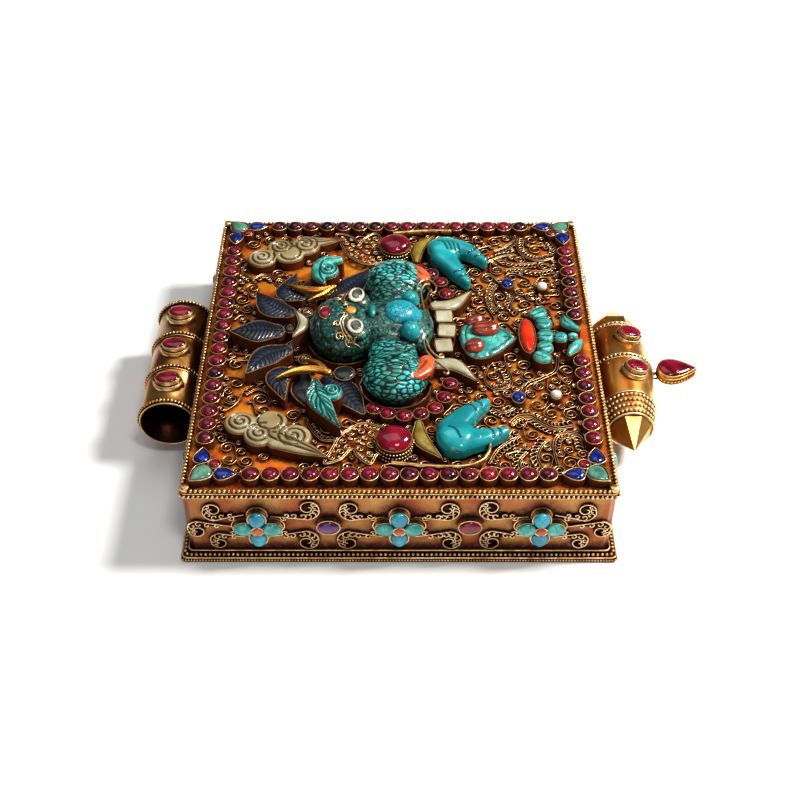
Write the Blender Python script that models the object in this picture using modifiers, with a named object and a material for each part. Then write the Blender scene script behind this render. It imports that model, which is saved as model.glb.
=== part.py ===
"""Gau prayer box: a flat gilt amulet box with a jewelled monster mask on its face, lying on its back.

The origin is at the middle of the back cover's underside. +X runs from the cord tube to the pendant,
which is downwards when the box is worn, +Y runs across the face, and +Z points out of the face.
"""

import math
from functools import partial

import bmesh
import bpy
from mathutils import Vector

# Clearances
GAP = 0.0003
COVER_CLEARANCE = 0.0003

# Box
BOX_WIDTH = 0.109
BOX_DEPTH = 0.114
BOX_HEIGHT = 0.024
WALL = 0.0012
CORNER_RADIUS = 0.0016
COVER_THICKNESS = 0.0014
COVER_FLANGE = 0.0021
FLANGE_CORNER = 0.0007
COVER_RIM_HEIGHT = 0.006
COVER_RIM_WALL = 0.001
EDGE_WIRE_RADIUS = 0.0005
CORNER_STUD_RADIUS = 0.0011
CORNER_STUD_HEIGHT = 0.0014
SECOND_WIRE_DROP = 0.0008

# Border of set stones
COLLET_HEIGHT = 0.0027
DOME_RISE = 0.0006
RUBY_RADIUS = 0.00235
RUBY_PITCH = 0.00497
BORDER_INSET = 0.0045
STRIP_LIP = 0.0001
STRIP_HEIGHT = 0.0007
CORNER_RUBY_REACH = 0.0048
DROP_LENGTH = 0.0060
DROP_WIDTH = 0.0044
CORNER_DROP_LENGTH = 0.0066
CORNER_DROP_WIDTH = 0.0054
CORNER_RUBY_RADIUS = 0.0016

# Wall ornaments
FLOWER_RADIUS = 0.0062
FLOWER_RISE = 0.0026
FLOWER_CENTRE_RADIUS = 0.0014
FLOWER_CENTRE_RISE = 0.0004
WALL_OVAL_LENGTH = 0.0062
WALL_OVAL_WIDTH = 0.0046
WALL_OVAL_RISE = 0.0018
FLOWER_SPACING = 0.036
SIDE_FLOWER_SPACING = 0.038
VINE_THICKNESS = 0.0007
VINE_HEIGHT = 0.0016
VINE_END = 0.0125

# Cord tube
TUBE_RADIUS = 0.0079
TUBE_WALL = 0.0007
TUBE_LENGTH = 0.0440
TUBE_PLACE = 0.0008
TUBE_RING_RISE = 0.0009
TUBE_RING_WIDTH = 0.001
TUBE_RING_SPACING = 0.0142
SADDLE_HEIGHT = 0.008
TUBE_STONE_LENGTH = 0.0078
TUBE_STONE_WIDTH = 0.0052
TUBE_STONE_HEIGHT = 0.0030
TUBE_STONE_SPACING = 0.0142

# Barrel
BARREL_RADIUS = 0.0088
BARREL_SWELL = 0.080
BARREL_FRONT = 0.0208
BARREL_BACK = 0.0166
BARREL_PLACE = -0.0024
BARREL_BITE = 0.0003
BARREL_BAND_WIDTH = 0.0080
BARREL_BAND_RISE = 0.0004
FINIAL_SIDES = 8
FRONT_FINIAL = (0.0, 0.0059), (0.0080, 0.0003)
BACK_FINIAL = (0.0, 0.0070), (0.0038, 0.0067), (0.0098, 0.0031)
BARREL_STONE_WIDTH = 0.0054
BARREL_STONE_LENGTH = 0.0068
BARREL_STONE_HEIGHT = 0.0028
BARREL_STONE_SPACING = 0.0148
BARREL_STONE_MIDDLE = -0.0011
BARREL_STONE_LEAN = math.radians(13.0)
FITTING_HEIGHT = 0.013

# Pendant
PENDANT_LENGTH = 0.0112
PENDANT_WIDTH = 0.0084
PENDANT_EDGE = 0.0030
PENDANT_DOME = 0.0012
PENDANT_HEIGHT = math.radians(14.0)
PENDANT_CLIMB = math.radians(1.0)

# The relief's free forms keep their shares of the field inside the border. Their points are in units,
# and RELIEF_HALF_X by RELIEF_HALF_Y of them fill half that field.
RELIEF_HALF_X = 47.25
RELIEF_HALF_Y = 49.75
LOTUS_HALF = 7.4
RELIEF_DOME = 0.7
PAW_DOME = 1.5
RELIEF_STEP = 0.12
SEAT_CLEARANCE = 0.35
SMALL_LUMP = 5.5
ARC_RUBIES = 7
ARC_BASE = 0.7

# Facets
ROUND_SIDES = 12
SMALL_SIDES = 8
BEAD_SIDES = 6
DROP_SIDES = 10
BALL_SIDES = 10
BALL_RINGS = 4
STROKE_STEPS = 5
FLOWER_SIDES = 16
CORNER_STEPS = 1

# Shares that shape the outlines
PETAL_NOTCH = 0.45
TIP_DRAW = 0.2
CAP_REACH = 0.87
CAP_WIDTH = 0.5
DOME_SHARE = 0.72

half_width = BOX_WIDTH / 2
half_depth = BOX_DEPTH / 2
wall_foot = COVER_THICKNESS + GAP
seat = BOX_HEIGHT + GAP
row_x = half_width - BORDER_INSET
row_y = half_depth - BORDER_INSET
strip_half = RUBY_RADIUS + STRIP_LIP
field_half_x = row_x - strip_half - GAP
field_half_y = row_y - strip_half - GAP
unit = min(field_half_x / RELIEF_HALF_X, field_half_y / RELIEF_HALF_Y)
tube_x = -(half_width + GAP + TUBE_RING_RISE + TUBE_RADIUS)
barrel_x = half_width + GAP + BARREL_RADIUS - BARREL_BITE

for old in list(bpy.data.objects):
    bpy.data.objects.remove(old, do_unlink=True)

parts = bpy.data.collections.new("gau_prayer_box")
cutters = bpy.data.collections.new("cutters")
for group in (parts, cutters):
    bpy.context.scene.collection.children.link(group)


def material(name, colour, roughness, metallic=0.0):
    """A Principled BSDF of one colour."""
    made = bpy.data.materials.new(name)
    made.use_nodes = True
    shader = made.node_tree.nodes["Principled BSDF"]
    shader.inputs["Base Color"].default_value = (*colour, 1.0)
    shader.inputs["Roughness"].default_value = roughness
    shader.inputs["Metallic"].default_value = metallic
    made.diffuse_color = (*colour, 1.0)
    return made


GILT = material("antique gilt", (0.62, 0.30, 0.08), 0.42, 1.0)
BRIGHT_GILT = material("bright gilt", (0.85, 0.52, 0.12), 0.3, 1.0)
RUBY = material("ruby", (0.35, 0.01, 0.06), 0.2)
LAPIS = material("lapis", (0.03, 0.08, 0.25), 0.35)
TURQUOISE = material("turquoise", (0.05, 0.45, 0.45), 0.4)
CORAL = material("coral", (0.65, 0.09, 0.03), 0.35)
IVORY = material("ivory", (0.75, 0.68, 0.48), 0.4)
JADE = material("olive jade", (0.35, 0.30, 0.08), 0.35)
PEARL = material("pearl", (0.8, 0.78, 0.72), 0.25)
CRYSTAL = material("grey crystal", (0.25, 0.28, 0.28), 0.15)


def place(name, mesh, surface):
    """An object of this mesh, in the collection of parts."""
    made = bpy.data.objects.new(name, mesh)
    mesh.materials.append(surface)
    parts.objects.link(made)
    return made


def finish_mesh(shape, name):
    bmesh.ops.recalc_face_normals(shape, faces=shape.faces)
    mesh = bpy.data.meshes.new(name)
    shape.to_mesh(mesh)
    shape.free()
    return mesh


def combine(made, operation, operands):
    """Joins the operands to the object, or cuts them out of it, in one exact Boolean."""
    group = bpy.data.collections.new(f"{made.name} {operation.lower()}")
    cutters.children.link(group)
    for operand in operands:
        for holder in list(operand.users_collection):
            holder.objects.unlink(operand)
        group.objects.link(operand)
        operand.hide_render = True
        operand.display_type = "WIRE"
    step = made.modifiers.new(operation.title(), "BOOLEAN")
    step.operation = operation
    step.operand_type = "COLLECTION"
    step.collection = group
    step.solver = "EXACT"


def rounded_rectangle(half_x, half_y, radius, steps=CORNER_STEPS):
    corners = ((1, 1, 0.0), (-1, 1, 90.0), (-1, -1, 180.0), (1, -1, 270.0))
    points = []
    for side_x, side_y, start in corners:
        for step in range(steps + 1):
            angle = math.radians(start + 90.0 * step / steps)
            x = side_x * (half_x - radius) + radius * math.cos(angle)
            y = side_y * (half_y - radius) + radius * math.sin(angle)
            points.append((x, y))
    return points


def oval(x, y, half_x, half_y, sides=SMALL_SIDES, share=1.0):
    turns = [2 * math.pi * (side + 0.5) / sides for side in range(sides)]
    return [(x + share * half_x * math.cos(turn), y + share * half_y * math.sin(turn)) for turn in turns]


def drop(x, y, length, width, heading, sides=DROP_SIDES, share=1.0):
    """A teardrop outline about its middle, with its tip towards the heading."""
    widest = 0.77
    points = []
    for side in range(sides):
        turn = 2 * math.pi * side / sides
        along = share * length / 2 * math.cos(turn)
        across = share * width / 2 * math.sin(turn) * math.sin(turn / 2) / widest
        points.append(
            (
                x + along * math.cos(heading) - across * math.sin(heading),
                y + along * math.sin(heading) + across * math.cos(heading),
            )
        )
    return points


def flower(radius, sides=FLOWER_SIDES, share=1.0):
    """The outline of four round petals about the origin."""
    points = []
    for side in range(sides):
        turn = 2 * math.pi * side / sides
        reach = share * radius * (PETAL_NOTCH + (1 - PETAL_NOTCH) * abs(math.cos(2 * turn)) ** 0.5)
        points.append((reach * math.cos(turn), reach * math.sin(turn)))
    return points


def curve_through(values, share):
    """The value at this share of a smooth curve through evenly spaced points or widths."""
    place_on = share * (len(values) - 1)
    index = min(int(place_on), len(values) - 2)
    t = place_on - index
    start, end = values[index], values[index + 1]
    before = values[index - 1] if index else start * 2 - end
    after = values[index + 2] if index + 2 < len(values) else end * 2 - start
    return (
        start * 2
        + (end - before) * t
        + (before * 2 - start * 5 + end * 4 - after) * t**2
        + (start * 3 - before - end * 3 + after) * t**3
    ) * 0.5


def stroke(path, widths, steps=STROKE_STEPS, share=1.0):
    """The outline of a stroke along a smooth path, of these widths.

    An end of some width is round, and one of none is a tip. A smaller share narrows the stroke and draws
    its tips in.
    """
    points = [Vector(point) for point in path]
    first = 0.0 if widths[0] else (1 - share) * TIP_DRAW
    last = 1.0 if widths[-1] else 1 - (1 - share) * TIP_DRAW
    places = [first + (last - first) * step / steps for step in range(steps + 1)]
    middle = [curve_through(points, place_on) for place_on in places]
    left, right = [], []
    for step, point in enumerate(middle):
        along = (middle[min(step + 1, steps)] - middle[max(step - 1, 0)]).normalized()
        side = Vector((-along.y, along.x)) * share * curve_through(widths, places[step]) / 2
        end_width = {0: widths[0], steps: widths[-1]}.get(step, 1)
        if not end_width:
            left.append(point)
            continue
        pair = [(point + side, point - side)]
        if step in (0, steps):
            outward = along * side.length * CAP_REACH * (1 if step else -1)
            pair.append((point + side * CAP_WIDTH + outward, point - side * CAP_WIDTH + outward))
        for one, other in pair if step else pair[::-1]:
            left.append(one)
            right.append(other)
    return [point[:] for point in left + right[::-1]]


def ribbon(path, width):
    """The outline of a strip of this width along a path, with mitred corners."""
    left, right = [], []
    runs = [(after - before).normalized() for before, after in zip(path, path[1:], strict=False)]
    for index, point in enumerate(path):
        before = runs[max(index - 1, 0)]
        after = runs[min(index, len(runs) - 1)]
        along = (before + after).normalized()
        side = Vector((-along.y, along.x)) * width / 2 / along.dot(after)
        left.append(point + side)
        right.append(point - side)
    return [point[:] for point in left + right[::-1]]


def loft(name, rings):
    """A closed body through rings of as many points, each an outline and its height."""
    shape = bmesh.new()
    layers = [[shape.verts.new((x, y, height)) for x, y in outline] for outline, height in rings]
    for lower, upper in zip(layers, layers[1:], strict=False):
        for index, corner in enumerate(lower):
            after = (index + 1) % len(lower)
            shape.faces.new((corner, lower[after], upper[after], upper[index]))
    shape.faces.new(layers[0])
    shape.faces.new(layers[-1])
    return finish_mesh(shape, name)


def slab(name, outline, floor, height):
    """A flat piece with upright sides."""
    return loft(name, [(outline, floor), (outline, floor + height)])


def ball(centre, radii, segments, rings):
    shape = bmesh.new()
    bmesh.ops.create_uvsphere(shape, u_segments=segments, v_segments=rings, radius=1.0)
    bmesh.ops.scale(shape, verts=shape.verts, vec=radii)
    bmesh.ops.translate(shape, verts=shape.verts, vec=centre)
    return finish_mesh(shape, "ball")


def block(low, high):
    shape = bmesh.new()
    bmesh.ops.create_cube(shape, size=1.0)
    bmesh.ops.scale(shape, verts=shape.verts, vec=Vector(high) - Vector(low))
    bmesh.ops.translate(shape, verts=shape.verts, vec=(Vector(high) + Vector(low)) / 2)
    return finish_mesh(shape, "block")


def turned(name, profile, surface, sides=ROUND_SIDES):
    """A body turned about Z from its outer profile, from the top to the foot, which meets the axis."""
    mesh = bpy.data.meshes.new(name)
    edges = [(index, index + 1) for index in range(len(profile) - 1)]
    mesh.from_pydata([(radius, 0.0, height) for radius, height in profile], edges, [])
    made = place(name, mesh, surface)
    screw = made.modifiers.new("Screw", "SCREW")
    screw.steps = sides
    screw.render_steps = sides
    screw.use_merge_vertices = True
    screw.merge_threshold = GAP / 1000
    return made


def wire_loop(name, outline, height, radius, surface):
    """A plain round wire laid along a closed outline."""
    curve = bpy.data.curves.new(name, "CURVE")
    curve.dimensions = "3D"
    curve.bevel_depth = radius
    curve.bevel_resolution = 1
    spline = curve.splines.new("POLY")
    spline.points.add(len(outline) - 1)
    for point, (x, y) in zip(spline.points, outline, strict=True):
        point.co = (x, y, height, 1.0)
    spline.use_cyclic_u = True
    made = bpy.data.objects.new(name, curve)
    parts.objects.link(made)
    mesh = bpy.data.meshes.new_from_object(made.evaluated_get(bpy.context.evaluated_depsgraph_get()))
    bpy.data.objects.remove(made)
    return place(name, mesh, surface)


def mirrored(shape):
    """The same outline on the other side of the face's middle line."""
    return lambda share=1.0: [(x, -y) for x, y in reversed(shape(share=share))]


def make_box():
    """The shell of walls and face, open at the back, and the cover that closes it and lifts off."""
    outline = rounded_rectangle(half_width, half_depth, CORNER_RADIUS)
    shell = place("front_shell", slab("shell", outline, wall_foot, BOX_HEIGHT - wall_foot), GILT)
    inner_x = half_width - WALL
    inner_y = half_depth - WALL
    cavity = rounded_rectangle(inner_x, inner_y, CORNER_RADIUS)
    mesh = slab("cavity", cavity, 0.0, BOX_HEIGHT - WALL)
    combine(shell, "DIFFERENCE", [place("shell cavity", mesh, GILT)])

    flange = rounded_rectangle(half_width + COVER_FLANGE, half_depth + COVER_FLANGE, FLANGE_CORNER)
    cover = place("back_cover", slab("cover", flange, 0.0, COVER_THICKNESS), GILT)
    rim_x = inner_x - COVER_CLEARANCE
    rim_y = inner_y - COVER_CLEARANCE
    rim = rounded_rectangle(rim_x, rim_y, CORNER_RADIUS)
    rim_foot = COVER_THICKNESS / 2
    mesh = slab("rim", rim, rim_foot, COVER_RIM_HEIGHT + COVER_THICKNESS - rim_foot)
    combine(cover, "UNION", [place("cover rim", mesh, GILT)])
    hollow = rounded_rectangle(rim_x - COVER_RIM_WALL, rim_y - COVER_RIM_WALL, CORNER_RADIUS)
    mesh = slab("hollow", hollow, COVER_THICKNESS, BOX_HEIGHT)
    combine(cover, "DIFFERENCE", [place("rim hollow", mesh, GILT)])


def make_edge_wires():
    """The wires round the box that carry its beads: on the face's edge, below it, and round the foot."""
    inset = EDGE_WIRE_RADIUS
    outline = rounded_rectangle(half_width - inset, half_depth - inset, CORNER_RADIUS)
    upper = wire_loop("rim_wire_upper", outline, seat + EDGE_WIRE_RADIUS, EDGE_WIRE_RADIUS, GILT)
    studs = []
    for side_x in (-1, 1):
        for side_y in (-1, 1):
            x = side_x * (half_width - CORNER_STUD_RADIUS)
            y = side_y * (half_depth - CORNER_STUD_RADIUS)
            outline = oval(x, y, CORNER_STUD_RADIUS, CORNER_STUD_RADIUS, BEAD_SIDES)
            mesh = slab("stud", outline, seat, CORNER_STUD_HEIGHT)
            studs.append(place("corner stud", mesh, GILT))
    combine(upper, "UNION", studs)

    reach = GAP + EDGE_WIRE_RADIUS
    outline = rounded_rectangle(half_width + reach, half_depth + reach, CORNER_RADIUS + reach)
    wire_loop("rim_wire_lower", outline, BOX_HEIGHT - SECOND_WIRE_DROP, EDGE_WIRE_RADIUS, GILT)
    wire_loop("base_wire", outline, COVER_THICKNESS + reach, EDGE_WIRE_RADIUS, GILT)


def border_row(start, end):
    """The places of the rubies along one side, at their pitch and centred between two corner clusters."""
    run = end - start
    count = int(run.length / RUBY_PITCH) + 1
    margin = (run.length - RUBY_PITCH * (count - 1)) / 2
    return [start + run.normalized() * (margin + RUBY_PITCH * index) for index in range(count)]


def make_border():
    """Four strips of rubies in collets, each with the cluster of drops at its first corner."""
    sides = {
        "border_front": ((-1, -1), (1, -1)),
        "border_right": ((1, -1), (1, 1)),
        "border_back": ((1, 1), (-1, 1)),
        "border_left": ((-1, 1), (-1, -1)),
    }
    arm = DROP_LENGTH / 2 + CORNER_DROP_LENGTH / 2
    reach = arm + DROP_LENGTH / 2 + RUBY_RADIUS + GAP
    floor = seat + STRIP_HEIGHT / 2
    for name, (first, last) in sides.items():
        start = Vector((first[0] * row_x, first[1] * row_y))
        end = Vector((last[0] * row_x, last[1] * row_y))
        along = (end - start).normalized()
        # Towards the cluster's other arm, beside the strip before this one.
        aside = Vector((-along.y, along.x))
        places = border_row(start + along * reach, end - along * reach)
        path = ribbon([start + aside * arm, start, places[-1] + along * strip_half], strip_half * 2)
        made = place(name, slab(name, path, seat, STRIP_HEIGHT), RUBY)
        if name == "border_right":
            places = [spot for spot in places if abs(spot.y) > LOTUS_HALF * unit]

        heading = math.atan2(along.y, along.x)
        inner = start + (along + aside).normalized() * CORNER_RUBY_REACH
        outlines = [
            drop(*(start + along * arm), DROP_LENGTH, DROP_WIDTH, heading, SMALL_SIDES),
            drop(*(start + aside * arm), DROP_LENGTH, DROP_WIDTH, heading + math.pi / 2, SMALL_SIDES),
            drop(*start, CORNER_DROP_LENGTH, CORNER_DROP_WIDTH, heading + math.pi * 1.25, SMALL_SIDES),
            oval(*inner, CORNER_RUBY_RADIUS, CORNER_RUBY_RADIUS, BEAD_SIDES),
        ]
        outlines += [oval(*spot, RUBY_RADIUS, RUBY_RADIUS, BEAD_SIDES) for spot in places]
        height = seat + COLLET_HEIGHT - floor
        stones = [
            place("border stone", slab("stone", outline, floor, height), RUBY)
            for outline in outlines
        ]
        combine(made, "UNION", stones)


def on_face(name, shapes, surface, top, floor=0.0, dome=RELIEF_DOME):
    """A piece of the relief: its shapes, raised from its floor to its top above the face, as one body.

    Shapes, heights and dome are in the relief's units. Each further shape stands a little inside the last
    in height, so that no two faces of one body lie in one plane.
    """
    bodies = []
    for index, shape in enumerate(shapes):
        step = RELIEF_STEP * index
        levels = [(1.0, floor + step / 2), (1.0, top - dome - step), (DOME_SHARE, top - step)]
        rings = [
            ([(x * unit, y * unit) for x, y in shape(share=share)], seat + height * unit)
            for share, height in (levels if dome else levels[:2])
        ]
        bodies.append(loft(name, rings))
    made = place(name, bodies[0], surface)
    if bodies[1:]:
        combine(made, "UNION", [place(name, body, surface) for body in bodies[1:]])
    return made


def make_crown():
    """The lapis leaves, the moon, the forked horns and the curled leaves round the forehead."""
    middle_leaf = partial(stroke, [(-34.4, 0), (-40, 0), (-47.2, 0)], [5.2, 8.4, 0])
    leaf = partial(stroke, [(-31.4, -8.0), (-36.6, -10.8), (-41.3, -17.4)], [4.2, 7.2, 0])
    side_leaf = partial(stroke, [(-28.4, -15.8), (-32.6, -18.4), (-30.4, -27.0)], [2.6, 6.2, 0])
    long_path = [(-18.8, -18.2), (-23.2, -16.9), (-28.2, -17.7), (-33.6, -20.4)]
    long_prong = partial(stroke, long_path, [1.9, 2.5, 2.0, 0])
    short_prong = partial(stroke, [(-20.6, -17.2), (-23.4, -15.4), (-26.2, -13.4)], [1.8, 1.6, 0])
    on_face("crown_leaf_middle", [middle_leaf], LAPIS, 5.0)
    for side, turn in SIDES:
        on_face(f"crown_leaf_{side}", [turn(leaf)], LAPIS, 5.0)
        on_face(f"crown_side_leaf_{side}", [turn(side_leaf)], LAPIS, 4.2)
        on_face(f"horn_{side}", [turn(long_prong), turn(short_prong)], BRIGHT_GILT, 6.4, floor=4.5)
    moon = partial(stroke, [(-28.5, -5.3), (-27.0, 0), (-28.5, 5.3)], [0, 2.2, 0])
    on_face("crown_moon", [moon], IVORY, 7.7)
    front_curl = partial(stroke, [(-22.4, -21.9), (-21.2, -28.6), (-15.2, -39.0)], [2.2, 5.8, 0])
    back_path = [(-21.6, 19.6), (-23.4, 24.2), (-22.3, 29.8), (-17.8, 31.2)]
    back_curl = partial(stroke, back_path, [0, 4.2, 4.4, 2.4])
    on_face("swirl_leaf_front", [front_curl, partial(oval, -17.9, -26.0, 2.8, 2.8)], TURQUOISE, 6.6)
    on_face("swirl_leaf_back", [back_curl, partial(oval, -21.2, 26.0, 3.3, 3.3)], TURQUOISE, 6.6)


def make_clouds():
    """Two carved clouds: round lobes run together, with a tail."""
    front = [
        partial(oval, -33.4, -34.7, 4.2, 4.0),
        partial(oval, -41.2, -35.0, 4.1, 3.9),
        partial(oval, -36.0, -39.2, 4.0, 4.0),
        partial(oval, -27.3, -40.2, 4.6, 4.4),
        partial(stroke, [(-31.0, -40.6), (-24.6, -43.9), (-18.3, -47.0)], [7.0, 4.4, 0]),
    ]
    back = [
        partial(oval, -33.2, 37.2, 4.4, 3.8),
        partial(oval, -41.2, 35.4, 4.2, 4.0),
        partial(oval, -36.0, 40.6, 3.9, 3.9),
        partial(oval, -28.6, 41.7, 4.4, 4.5),
        partial(stroke, [(-28.6, 43.8), (-23.6, 43.6), (-17.8, 45.0)], [4.6, 3.2, 0]),
    ]
    on_face("cloud_front", front, IVORY, 3.2)
    on_face("cloud_back", back, IVORY, 3.2)


def make_hands():
    """A turquoise paw on each side, with the olive jade crescent and the great ruby next to it."""
    front = [
        partial(oval, 14.6, -40.4, 5.3, 5.5),
        partial(stroke, [(15.4, -41.6), (22.0, -40.4), (27.2, -38.4)], [8.8, 5.4, 2.8]),
        partial(stroke, [(13.2, -38.0), (17.6, -32.4), (22.6, -28.0)], [8.0, 6.2, 2.8]),
    ]
    back = [
        partial(oval, 13.5, 39.2, 5.2, 5.8),
        partial(stroke, [(14.4, 40.8), (20.4, 38.6), (25.2, 33.6)], [8.0, 5.6, 2.4]),
        partial(stroke, [(12.8, 35.6), (16.6, 29.2), (19.7, 23.4)], [7.6, 5.4, 2.4]),
    ]
    on_face("hand_front", front, TURQUOISE, 5.6, dome=PAW_DOME)
    on_face("hand_back", back, TURQUOISE, 5.6, dome=PAW_DOME)
    crescent = partial(stroke, [(5.0, -34.6), (5.7, -41.0), (10.6, -47.2)], [1.4, 3.6, 0])
    ruby = partial(oval, -1.3, -41.4, 4.7, 4.7, DROP_SIDES)
    for side, turn in SIDES:
        on_face(f"crescent_{side}", [turn(crescent)], JADE, 3.2)
        on_face(f"great_ruby_{side}", [turn(ruby)], RUBY, 5.4)


def make_mouth():
    """The row of teeth, the tusks, the tongue in its petals, and the coral below it."""
    teeth = [partial(oval, 12.8, y, 3.2, 4.5, 4) for y in (0, -6.25, 6.25)]
    on_face("teeth", teeth, IVORY, 5.0)
    tusk = partial(stroke, [(10.2, -12.4), (15.2, -13.0), (20.8, -19.2)], [3.4, 3.9, 0])
    for side, turn in SIDES:
        on_face(f"tusk_{side}", [turn(tusk)], IVORY, 4.2)
    tongue = partial(drop, 24.7, -1.2, 15.6, 17.4, 0.0, ROUND_SIDES)
    on_face("tongue", [tongue], CORAL, 6.2, dome=PAW_DOME)
    on_face("coral_oval", [partial(oval, 35.7, -0.6, 2.0, 7.2, DROP_SIDES)], CORAL, 4.2)


def make_lotus():
    """The turquoise nuggets at the end of the tongue's stem, which break into the border over its strip."""
    nuggets = [
        partial(oval, 39.4, 9.0, 2.8, 2.8, BEAD_SIDES),
        partial(oval, 40.7, 4.6, 2.5, 2.9, BEAD_SIDES),
        partial(oval, 40.8, -0.8, 2.6, 3.2, BEAD_SIDES),
        partial(oval, 40.3, -5.6, 2.2, 2.5, BEAD_SIDES),
        partial(oval, 39.2, -9.7, 2.8, 2.8, BEAD_SIDES),
        partial(oval, 44.8, -1.4, 2.5, 2.0, BEAD_SIDES),
        partial(oval, 48.0, -1.4, 1.6, 1.7, BEAD_SIDES),
        partial(stroke, [(47.0, 6.0), (48.3, 4.0), (50.4, 1.8)], [2.0, 3.4, 1.4], 4),
        partial(stroke, [(50.2, -4.6), (48.6, -6.0), (46.6, -8.2)], [2.2, 3.0, 1.0], 4),
        partial(stroke, [(48.4, 3.6), (48.2, -1.4), (48.6, -5.8)], [1.6, 1.6, 1.6], 2),
    ]
    on_face("turquoise_lotus", nuggets, TURQUOISE, 4.2, floor=(STRIP_HEIGHT + GAP) / unit, dome=0)


def make_small_stones():
    """The lapis and pearls in the filigree, and the arc of rubies under each cheek."""
    arc = [(-6.7, -29.0), (-1.0, -31.4), (5.6, -31.0), (10.9, -27.0), (13.6, -19.2)]
    points = [Vector(point) for point in arc]
    spots = [curve_through(points, index / (ARC_RUBIES - 1)) for index in range(ARC_RUBIES)]
    line = partial(stroke, arc, [4.8] * len(arc))
    for side, turn in SIDES:
        rubies = [turn(partial(oval, *spot, 2.3, 2.3, BEAD_SIDES)) for spot in spots]
        base = on_face(f"ruby_arc_{side}", [turn(line)], RUBY, ARC_BASE, dome=0)
        stones = [on_face("arc ruby", [ruby], RUBY, 2.9, floor=ARC_BASE / 2, dome=0) for ruby in rubies]
        combine(base, "UNION", stones)
        on_face(f"lapis_{side}", [turn(partial(oval, 31.7, -24.4, 1.9, 2.1))], LAPIS, 2.8)
        on_face(f"pearl_{side}", [turn(partial(oval, 41.8, -23.2, 1.6, 1.6))], PEARL, 2.8)


def make_mask():
    """The monster's face in one body: soft lumps run together on a narrower foot, with seats for stones."""
    lumps = [
        ((-15.3, 0, 6.0), (10.2, 11.5, 6.0)),
        ((-3.0, 0, 6.0), (12.0, 9.6, 5.8)),
        ((5.4, 0, 5.2), (4.2, 8.8, 3.8)),
        ((1.0, 0, 11.0), (5.0, 3.6, 3.0)),
        ((-5.2, 0, 10.4), (4.4, 2.4, 2.2)),
    ]
    for y in (-1, 1):
        lumps += [
            ((-1.0, y * 20.0, 5.7), (9.2, 8.6, 5.4)),
            ((-2.0, y * 11.6, 5.7), (7.0, 5.0, 4.6)),
            ((2.6, y * 6.4, 10.4), (2.5, 2.5, 2.6)),
            ((-12.0, y * 6.7, 9.8), (3.8, 3.4, 1.8)),
        ]
    feet = [
        partial(oval, -15.3, 0, 9.0, 10.2, DROP_SIDES),
        partial(oval, -1.5, 0, 9.0, 8.4),
        partial(oval, -1.0, -19.9, 7.0, 6.6),
        partial(oval, -1.0, 19.9, 7.0, 6.6),
    ]
    made = on_face("mask", feet, TURQUOISE, 6.0, dome=0)
    bodies = []
    for centre, radii in lumps:
        middle = Vector(centre) * unit + Vector((0, 0, seat))
        facets = (BALL_SIDES, BALL_RINGS) if radii[0] > SMALL_LUMP else (SMALL_SIDES, BALL_RINGS - 1)
        mesh = ball(middle, [radius * unit for radius in radii], *facets)
        bodies.append(place("mask lump", mesh, TURQUOISE))
    combine(made, "UNION", bodies)

    stones = [("third_eye", partial(oval, -20.3, 0, 1.9, 2.5), RUBY, 10.0, 12.0)]
    for side, turn in SIDES:
        stones += [
            (f"eye_{side}", turn(partial(oval, -12.0, -6.7, 2.2, 2.9)), CRYSTAL, 10.6, 12.2),
            (f"cheek_coral_{side}", turn(partial(drop, 5.2, -20.2, 8.2, 5.0, -1.9)), CORAL, 7.4, 9.8),
        ]
    seats = []
    for name, shape, surface, floor, top in stones:
        on_face(name, [shape], surface, top, floor=floor)
        outline = [Vector(point) for point in shape()]
        middle = sum(outline, Vector((0, 0))) / len(outline)
        reach = min((point - middle).length for point in outline)
        points = [(x * unit, y * unit) for x, y in shape(share=1 + SEAT_CLEARANCE / reach)]
        mesh = slab("seat", points, seat + (floor - SEAT_CLEARANCE) * unit, (top - floor) * 2 * unit)
        seats.append(place(f"{name} seat", mesh, TURQUOISE))
    combine(made, "DIFFERENCE", seats)


def wall_stones(name, shapes, vine_half):
    """Stones on one wall, joined by the low vine behind them, and lying flat on the wall's outside.

    Each shape comes with its rise from the vine's foot.
    """
    half = VINE_HEIGHT / 2
    outline = [(-vine_half, -half), (vine_half, -half), (vine_half, half), (-vine_half, half)]
    vine = slab(name, outline, 0.0, VINE_THICKNESS)
    made = place(name, vine, TURQUOISE)
    floor = VINE_THICKNESS / 2
    stones = []
    for shape, rise in shapes:
        stone = place(f"{name} stone", slab("stone", shape(), floor, rise - floor), TURQUOISE)
        stone.parent = made
        stones.append(stone)
    combine(made, "UNION", stones)
    return made


def moved(shape, x):
    return lambda: [(x + u, v) for u, v in shape()]


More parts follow.
